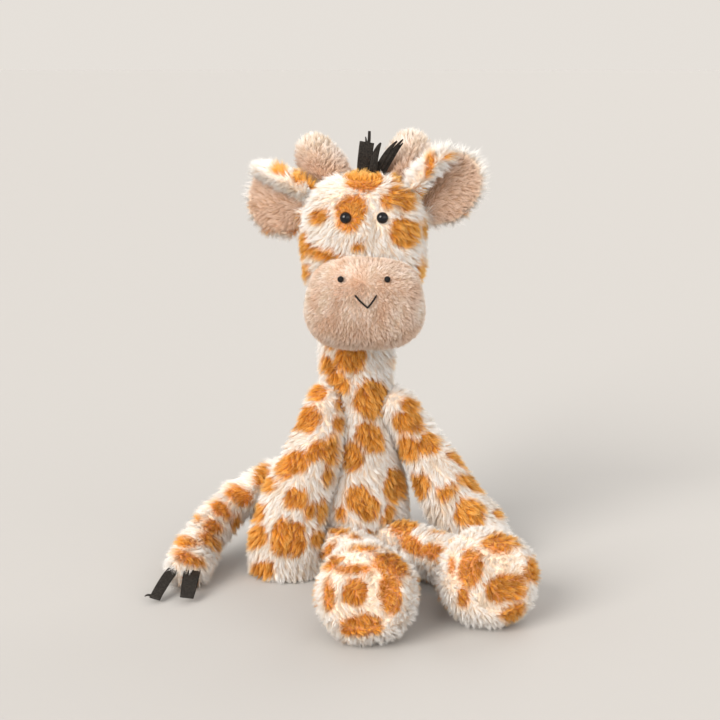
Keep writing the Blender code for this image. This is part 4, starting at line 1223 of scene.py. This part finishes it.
class GIRAFFE_OT_stage(Maker):
    """Make the camera, the lamps, the floor and the backdrop"""

    bl_idname = "giraffe.stage"
    bl_label = "Stage"

    def execute(self, context):
        sizes = context.scene.giraffe_stage
        camera = bpy.data.cameras.new("camera")
        camera.lens = CAMERA_LENS_MM
        camera.sensor_width = CAMERA_SENSOR_MM
        camera.clip_start = 0.01
        eye = add_object("camera", camera)
        eye.location = CAMERA_PLACE
        eye.rotation_euler = (math.pi / 2 - CAMERA_DIP, 0.0, 0.0)
        context.scene.camera = eye
        for name, place, spread, power in (
                ("key", (-0.72, -0.90, 0.74), 36.0, sizes.key),
                ("fill", (0.80, -0.95, 0.25), 70.0, sizes.fill),
                ("rim", (0.50, 0.90, 0.80), 50.0, sizes.rim)):
            lamp = bpy.data.lights.new(name, "SUN")
            lamp.angle = math.radians(spread)
            lamp.energy = power
            lamp.color = LAMP_COLOUR
            obj = add_object(name, lamp)
            obj.location = place
            aim = Vector(LAMP_AIM) - Vector(place)
            obj.rotation_euler = aim.to_track_quat("-Z", "Y").to_euler()
        self.sky(context, sizes)
        self.floor(sizes)
        context.scene.view_settings.view_transform = "Standard"
        return {"FINISHED"}

    def floor(self, sizes):
        """A wide floor, whose far edge meets a backdrop of the same shade."""
        reach = np.linspace(-FLOOR_REACH, FLOOR_REACH, 3)
        x, y = np.meshgrid(reach, reach)
        grid = np.stack((x, y, np.zeros_like(x)), axis=-1)
        obj = add_object("studio_floor", grid_mesh("studio_floor", grid, False))
        finish = Finish("studio_floor", tuple(sizes.floor_colour), Roughness=0.9,
                        Specular_IOR_Level=0.1)
        obj.data.materials.append(finish.material)

    def sky(self, context, sizes):
        """Even light, and the backdrop's own shade to the camera and to mirrors."""
        world = bpy.data.worlds.new("studio")
        world.use_nodes = True
        context.scene.world = world
        nodes = Nodes(world.node_tree)
        back = nodes.make("ShaderNodeBackground", None,
                          {"Color": (*SKY_COLOUR, 1.0), "Strength": sizes.sky})
        shown = nodes.make("ShaderNodeBackground", None, {"Color": (*sizes.backdrop, 1.0)})
        camera, mirror, glass = (nodes.make("ShaderNodeLightPath", output=kind) for kind in (
            "Is Camera Ray", "Is Glossy Ray", "Is Transmission Ray"))
        mix = nodes.make("ShaderNodeMixShader", None,
                         {0: camera | mirror | glass, 1: back, 2: shown})
        nodes.tree.links.new(mix.link, nodes.tree.nodes["World Output"].inputs["Surface"])


class GIRAFFE_OT_torso(Maker):
    """Dress the body, neck and seat panel, and make the pouch inside"""

    bl_idname = "giraffe.torso"
    bl_label = "Body and neck"

    def execute(self, context):
        cover = Patches("torso").cover
        free = free_of("torso", "arm_left", "arm_right", "leg_left", "leg_right", "tail")

        def weight(centres, ways):
            """None on the neck's end inside the head or on the inner rim of the seat."""
            inner = (centres[:, 2] < SEAT_RIM) & (ways[:, 2] > -0.2)
            top = centres[:, 2] > JOINTS["head_nod"].z + NECK_INSIDE
            return free(centres, ways) * np.where(top | inner, 0.0, 1.0)

        dress("torso", "trunk", long_coat(), down_flow, cover, 31, weight)
        dress_underside("seat_panel", "trunk", cover, 32)
        self.pouch()
        return {"FINISHED"}

    def pouch(self):
        """A ball of beans, drawn in by folds that deepen towards its top and its bottom."""
        low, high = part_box("bean_pouch")
        rise, turn = np.linspace(0.0, math.pi, 21)[1:-1], round_turn(40)
        ball = ball_grid(rise, turn)
        ball[..., :2] *= (1.0 - POUCH_FOLD_DEPTH * (1.0 + np.cos(POUCH_FOLDS * turn))
                          * np.abs(np.cos(rise[:, None])) ** 3)[..., None]
        grid = np.array((low + high) / 2.0) + ball * np.array((high - low) / 2.0) * POUCH_SHARE
        cotton = Finish("pouch_cotton", (0.70, 0.68, 0.62), Roughness=0.9)
        cotton.bump(cotton.noise(2200.0), 0.4, 0.0002)
        pouch = add_piece("bean_pouch_cloth", [grid], cotton, "trunk", "pouch_cloth",
                          "bean_pouch")


class GIRAFFE_OT_crown(Maker):
    """Dress the patterned crown of the head"""

    bl_idname = "giraffe.crown"
    bl_label = "Crown"

    def execute(self, context):
        cover = Patches("head_crown").cover
        middle = middle_of("head_crown")
        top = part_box("head_crown")[1].z
        eyes = [on_front("head_crown", middle_of("eye_" + side), EYE_RING)[0]
                for side in ("left", "right")]

        def flow(points, normals):
            """Down and outwards from the top, with a tuft that stands round the forelock.

            Round each eye the pile is combed away from it.
            """
            level = (points - (middle.x, middle.y - 0.006, 0.0)) * (1.0, 1.0, 0.0)
            span = np.linalg.norm(level, axis=1)
            rise = ease(points[:, 2], *(top - drop for drop in TUFT_DROPS))
            rise = (rise * (1.0 - ease(span, *TUFT_SPANS)))[:, None]
            down = np.stack((0.55 * (points[:, 0] - middle.x) / 0.035,
                             np.full(len(points), 0.3), np.full(len(points), -1.0)), axis=1)
            down += unit(level) * 1.3 * ease(normals[:, 2], 0.3, 0.9)[:, None]
            tuft = np.array((middle.x, middle.y - 0.012, top + 0.03)) - points
            away = points[:, None] - np.array(eyes)[None]
            gaps = np.linalg.norm(away, axis=2)
            near = np.take_along_axis(away, gaps.argmin(1)[:, None, None], 1)[:, 0]
            ring = (1.0 - ease(gaps.min(1), EYE_RADIUS, EYE_RADIUS * 2.4))[:, None]
            combed = unit(down * (1.0 - rise) + unit(tuft) * rise)
            return combed * (1.0 - ring) + unit(near) * ring * 1.2

        free = free_of("head_crown", "muzzle", "horn_left", "horn_right", "torso")
        clear, scale = clear_of(eyes, *(EYE_RADIUS * share for share in EYE_CLEAR), least=0.5)
        dress("head_crown", "head", long_coat(), flow, cover, 33, product(free, clear), scale)
        return {"FINISHED"}


class GIRAFFE_OT_eyes(Maker):
    """Make the two glossy eyes"""

    bl_idname = "giraffe.eyes"
    bl_label = "Eyes"

    def execute(self, context):
        plastic = Finish("black_plastic", (0.004, 0.004, 0.005), Roughness=0.09,
                         Specular_IOR_Level=0.34)
        nylon = Finish("white_nylon", (0.78, 0.78, 0.76), Roughness=0.4)
        ball = ball_grid(np.linspace(0.02, math.pi - 0.02, 30), round_turn(48))
        for side in ("left", "right"):
            place, normal = on_front("head_crown", middle_of("eye_" + side), EYE_RING)
            axes = np.array((*square_to(normal), normal * EYE_DEPTH))
            grid = place + normal * EYE_LIFT + EYE_RADIUS * (ball @ axes)
            add_piece("eye_dome_" + side, [grid], plastic, "head", "black_plastic",
                      "eye_" + side)
            washer = frame["nodes"]["eye_washer_" + side]
            washer.data.materials.clear()
            washer.data.materials.append(nylon.material)
        return {"FINISHED"}


class GIRAFFE_OT_stitches(Maker):
    """Wind the nostril knots and lay the two-ply smile"""

    bl_idname = "giraffe.stitches"
    bl_label = "Nostrils and smile"

    def execute(self, context):
        finish = Finish("black_thread", (0.008, 0.007, 0.0075), Roughness=0.62,
                        Specular_IOR_Level=0.2)
        for side in ("left", "right"):
            self.lay("nostril_" + side + "_knot", self.knot("nostril_" + side), finish,
                     "nostril_" + side)
        points = []
        for share in np.linspace(-1.0, 1.0, 41):
            place, normal = on_smile(share, SMILE_PEAK, SMILE_CURVE)
            points.append(place + normal * SMILE_LIFT * (1.0 - 0.75 * abs(share) ** 12))
        path = np.array(points)
        turn = np.linspace(0.0, 2.0 * math.pi * SMILE_TWISTS, len(path))[:, None]
        side, other = frames_along(path, (0.0, -1.0, 0.0))
        plies = [(path + PLY_OFFSET * (side * np.cos(turn + half) + other * np.sin(turn + half)),
                  PLY_RADIUS) for half in (0.0, math.pi)]
        self.lay("smile_thread", plies, finish, "smile_stitch")
        return {"FINISHED"}

    def knot(self, node):
        """A nostril's threads: half rings over it at even angles, and one core below."""
        place, normal = on_front("muzzle", middle_of(node), KNOT_RING)
        low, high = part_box(node)
        half = (high.z - low.z) / 2.0
        first, second = square_to(normal)
        share = np.linspace(-1.0, 1.0, 13)[:, None]
        bow = np.sqrt(np.clip(1.0 - share ** 2, 0.0, 1.0)) * normal
        strands = []
        for k in range(KNOT_STRANDS):
            lean = math.pi * k / KNOT_STRANDS
            way = first * math.cos(lean) + second * math.sin(lean)
            path = place + normal * KNOT_LIFT + half * (
                share * way + bow * (0.75 + 0.06 * (k % 3)))
            strands.append((path, half * 0.26))
        core = place + normal * np.linspace(-0.0006, half + KNOT_LIFT, 5)[:, None]
        return [*strands, (core, half * 0.55)]

    def lay(self, name, strands, finish, node):
        """Join threads, each a path and a radius, into one piece."""
        add_piece(name, [tube_grid(path, radius) for path, radius in strands], finish,
                  "head", "black_thread", node)


class GIRAFFE_OT_ribbons(Maker):
    """Make the frayed ribbons of the forelock and of the tail"""

    bl_idname = "giraffe.ribbons"
    bl_label = "Ribbons"

    def execute(self, context):
        satin = self.satin()
        share = np.linspace(0.0, 1.0, 22)[:, None]
        for node, body, face, prongs in RIBBONS:
            low, high = (np.array(corner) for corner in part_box(node))
            grids = []
            for start, knee, end, wide, tip in prongs:
                knots = low + (high - low) * np.array((start, knee, end))
                path = ((1 - share) ** 2 * knots[0] + 2 * share * (1 - share) * knots[1]
                        + share ** 2 * knots[2])
                grids.append(strip_grid(path, wide, tip, face))
            add_piece(node + "_satin", grids, satin, body, "black_ribbon", node)
        return {"FINISHED"}

    def satin(self):
        """Black ribbon with the fine ribs of its weave."""
        finish = Finish("black_satin", (0.010, 0.008, 0.0065), Roughness=0.45,
                        Specular_IOR_Level=0.16)
        finish.drive("Base Color", finish.ramp(
            finish.noise(1300.0), (0.35, (0.006, 0.005, 0.004)), (0.7, (0.034, 0.028, 0.024))))
        wave = finish.make("ShaderNodeTexWave", {"bands_direction": "DIAGONAL"},
                           {"Vector": finish.place(), "Scale": 900.0, "Distortion": 1.5},
                           output="Fac")
        finish.bump(wave + finish.noise(700.0) * 0.8, 0.5, 0.00012)
        finish.drive("Roughness", 0.38 + 0.3 * finish.noise(260.0))
        return finish


class GIRAFFE_OT_muzzle(Maker):
    """Dress the beige muzzle"""

    bl_idname = "giraffe.muzzle"
    bl_label = "Muzzle"

    def execute(self, context):
        middle = middle_of("muzzle")

        def flow(points, normals):
            """Outwards from between the nostrils, and down."""
            out = points - np.array((middle.x, middle.y - 0.02, middle.z + 0.012))
            return unit(out) + np.array((0.0, 0.0, -0.35))

        def cover(points, normals):
            """Paler tips in drifts, and a little more of them on top, a painted light where the
            muzzle faces up.
            """
            # The upward share of the normal adds painted light to the muzzle's top
            return np.clip(0.38 + 0.40 * ripples(points, 0.018, 41) + 0.12 * normals[:, 2],
                           0.0, 1.0)

        knots = [on_front("muzzle", middle_of("nostril_" + side), KNOT_RING)[0]
                 for side in ("left", "right")]
        thread = [on_smile(share)[0] for share in np.linspace(-1.0, 1.0, 25)]
        bare, low = clear_of(knots, *KNOT_CLEAR)
        slim, flat = clear_of(thread, *SMILE_CLEAR)
        coat = short_coat(pile=0.0031, tuft=0.0017, lock=0.0050, stray=0.22, pull=0.6)
        dress("muzzle", "head", coat, flow, cover, 34,
              product(free_of("muzzle", "head_crown", "torso"), bare, slim),
              product(low, flat))
        return {"FINISHED"}


class GIRAFFE_OT_horns(Maker):
    """Dress the two horns"""

    bl_idname = "giraffe.horns"
    bl_label = "Horns"

    def execute(self, context):
        self.horn("horn_left", 35)
        self.horn("horn_right", 36)
        return {"FINISHED"}

    def horn(self, node, seed):
        """One horn, its pile combed upwards from its root."""
        low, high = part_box(node)
        root = np.array(((low.x + high.x) / 2, (low.y + high.y) / 2, low.z))

        def cover(points, normals):
            """Paler towards the tip."""
            return ease(points[:, 2], low.z + 0.4 * (high.z - low.z), high.z)

        dress(node, "head", short_coat(thick=0.9, lean=0.6, pile=0.0052), away_from(root),
              cover, seed, free_of(node, "head_crown"))


class GIRAFFE_OT_ears(Maker):
    """Dress the ears' backs and linings and grow the fringe of their rims"""

    bl_idname = "giraffe.ears"
    bl_label = "Ears"

    def execute(self, context):
        self.ear("left", 42, 0.62)
        self.ear("right", 43, 1.0)
        return {"FINISHED"}

    def ear(self, side, seed, longest):
        """One ear, and the share of its length that its fringe reaches at the top."""
        body = "ear_" + side
        root = np.array(JOINTS[body + "_flop"])
        back, lining = "ear_back_" + side, "ear_lining_" + side
        heart = np.array(middle_of(lining))

        def fan(points, normals):
            """Outwards from the root and from the ear's middle."""
            return 0.5 * unit(points - heart) + unit(points - root)

        cover = Patches(back).cover
        skin = dress(back, body, long_coat(pile=0.0075), away_from(root), cover, seed,
                     free_of(back, lining, "head_crown"))
        dress(lining, body, short_coat(pile=0.0046, lean=0.85), fan, no_patch, seed + 2,
              free_of(lining, back))
        self.fringe(skin, body, heart, cover, seed + 4, longest)

    def fringe(self, skin, body, heart, cover, seed, longest):
        """Long strands on the rim, combed away from the ear's middle.

        A place counts as rim where the skin's normal lies near the plane of
        the ear, which the least spread of the skin's points gives. The strands
        grow from a little over half their length low down to the longest on top.
        """
        points = points_and_normals(skin.obj.data)[0]
        spread = points - points.mean(0)
        plane = np.linalg.eigh(spread.T @ spread)[1][:, 0]

        def rim(centres, ways):
            """Where the skin turns over between the back and the front."""
            return (np.abs(ways @ plane) < RIM_FACING) * 1.0

        def outward(points, normals):
            """Away from the ear's middle and a little forwards."""
            return points - heart + (0.0, -0.004, 0.0)

        def tall(points):
            """Longer strands towards the top."""
            return FRINGE_LEAST + (longest - FRINGE_LEAST) * ease(
                points[:, 2], heart[2], heart[2] + FRINGE_RISE)

        coat = long_coat(thick=2.4, pile=0.0094, lean=0.42, tuft=0.0034, pull=0.6, stray=0.08,
                         tone=0.95)
        grow(skin, skin.node + "_fringe", body, coat, outward, cover, seed, rim, tall)


class GIRAFFE_OT_arms(Maker):
    """Dress the arms and the pads that they stand on"""

    bl_idname = "giraffe.arms"
    bl_label = "Arms"

    def execute(self, context):
        for side, seed, others in (("left", 51, ("torso", "leg_left", "tail")),
                                   ("right", 52, ("torso", "leg_right"))):
            node, pad = "arm_" + side, "arm_pad_" + side
            path = (JOINTS[node + "_raise"], middle_of(pad))
            cover = Patches(node).cover
            dress(node, node, long_coat(), path_flow(path), cover, seed,
                  free_of(node, *others))
            dress_underside(pad, node, cover, seed + 2)
        return {"FINISHED"}


class GIRAFFE_OT_legs(Maker):
    """Dress the legs and their soles"""

    bl_idname = "giraffe.legs"
    bl_label = "Legs"

    def execute(self, context):
        self.leg("left", 61, "torso", "arm_left")
        self.leg("right", 62, "torso")
        return {"FINISHED"}

    def leg(self, side, seed, *others):
        """One leg and its sole, with shorter pile on both along their seam."""
        node, sole = "leg_" + side, "sole_" + side
        hip = np.array(JOINTS[node + "_swing"])
        heel = np.array(middle_of(sole))
        low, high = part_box(sole)
        seam = (high.x - low.x) / 2.0

        def puckered(points):
            """Shorter where the sole is sewn in, half its width from its middle."""
            off = np.abs(np.linalg.norm(points - heel, axis=1) - seam)
            return 0.45 + 0.55 * ease(off, *SEAM_CLEAR)

        def swirl(points, normals):
            """Round the sole's middle and down, and outwards at its edge."""
            out = points - heel
            rim = ease(np.linalg.norm(out, axis=1), *SOLE_RIM)[:, None]
            round_it = np.cross(normals, unit(out))
            return (round_it * (0.8 - 0.5 * rim) + unit(out) * (0.15 + 0.6 * rim)
                    + np.array((0.0, 0.0, -0.55)))

        cover = Patches(node, worn=(sole,)).cover
        dress(node, node, long_coat(pile=0.0056), path_flow((hip, heel)), cover, seed,
              free_of(node, *others, sole), puckered)
        # The sole's tufts take a darker tone, a painted shade because the soles face away from the
        # light
        coat = long_coat(lean=0.60, pile=0.0054, tuft=0.0025, tone=0.18)
        dress(sole, node, coat, swirl, cover, seed + 2, free_of(sole, node), puckered)


class GIRAFFE_OT_tail(Maker):
    """Dress the tail"""

    bl_idname = "giraffe.tail"
    bl_label = "Tail"

    def execute(self, context):
        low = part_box("tail")[0]
        root = JOINTS["tail_swing"]
        path = (root, (low.x + 0.030, root.y - 0.015, 0.040),
                (low.x + 0.012, low.y + 0.055, 0.022), (low.x + 0.010, low.y + 0.005, 0.010))
        dress("tail", "tail", long_coat(pile=0.0080, slot="tail_plush"), path_flow(path),
              Patches("tail").cover, 72, free_of("tail", "torso"))
        return {"FINISHED"}


class GIRAFFE_PT_panel(bpy.types.Panel):
    """The pieces of the plush giraffe"""

    bl_idname = "GIRAFFE_PT_panel"
    bl_label = "Plush giraffe"
    bl_space_type = "VIEW_3D"
    bl_region_type = "UI"
    bl_category = "Plush"

    def draw(self, context):
        for kind in MAKERS:
            self.layout.operator(kind.bl_idname)
        for group in (context.scene.giraffe_stage, context.scene.giraffe_pile):
            for key in group.bl_rna.properties.keys():
                if key not in {"rna_type", "name"}:
                    self.layout.prop(group, key)


MAKERS = (GIRAFFE_OT_stage, GIRAFFE_OT_torso, GIRAFFE_OT_crown, GIRAFFE_OT_eyes,
          GIRAFFE_OT_muzzle, GIRAFFE_OT_stitches, GIRAFFE_OT_horns, GIRAFFE_OT_ears,
          GIRAFFE_OT_arms, GIRAFFE_OT_legs, GIRAFFE_OT_tail, GIRAFFE_OT_ribbons)
CLASSES = (StageSizes, PileSizes, *MAKERS, GIRAFFE_PT_panel)


def register():
    """Register the classes and hang the sizes on the scene."""
    for kind in CLASSES:
        bpy.utils.register_class(kind)
    bpy.types.Scene.giraffe_stage = bpy.props.PointerProperty(type=StageSizes)
    bpy.types.Scene.giraffe_pile = bpy.props.PointerProperty(type=PileSizes)


def unregister():
    """Take the classes and the sizes away again."""
    del bpy.types.Scene.giraffe_pile
    del bpy.types.Scene.giraffe_stage
    for kind in reversed(CLASSES):
        bpy.utils.unregister_class(kind)


def main():
    """Make every piece."""
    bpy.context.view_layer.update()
    register()
    bpy.ops.giraffe.stage()
    bpy.ops.giraffe.torso()
    bpy.ops.giraffe.crown()
    bpy.ops.giraffe.eyes()
    bpy.ops.giraffe.muzzle()
    bpy.ops.giraffe.stitches()
    bpy.ops.giraffe.horns()
    bpy.ops.giraffe.ears()
    bpy.ops.giraffe.arms()
    bpy.ops.giraffe.legs()
    bpy.ops.giraffe.tail()
    bpy.ops.giraffe.ribbons()


if __name__ == "__main__":
    main()
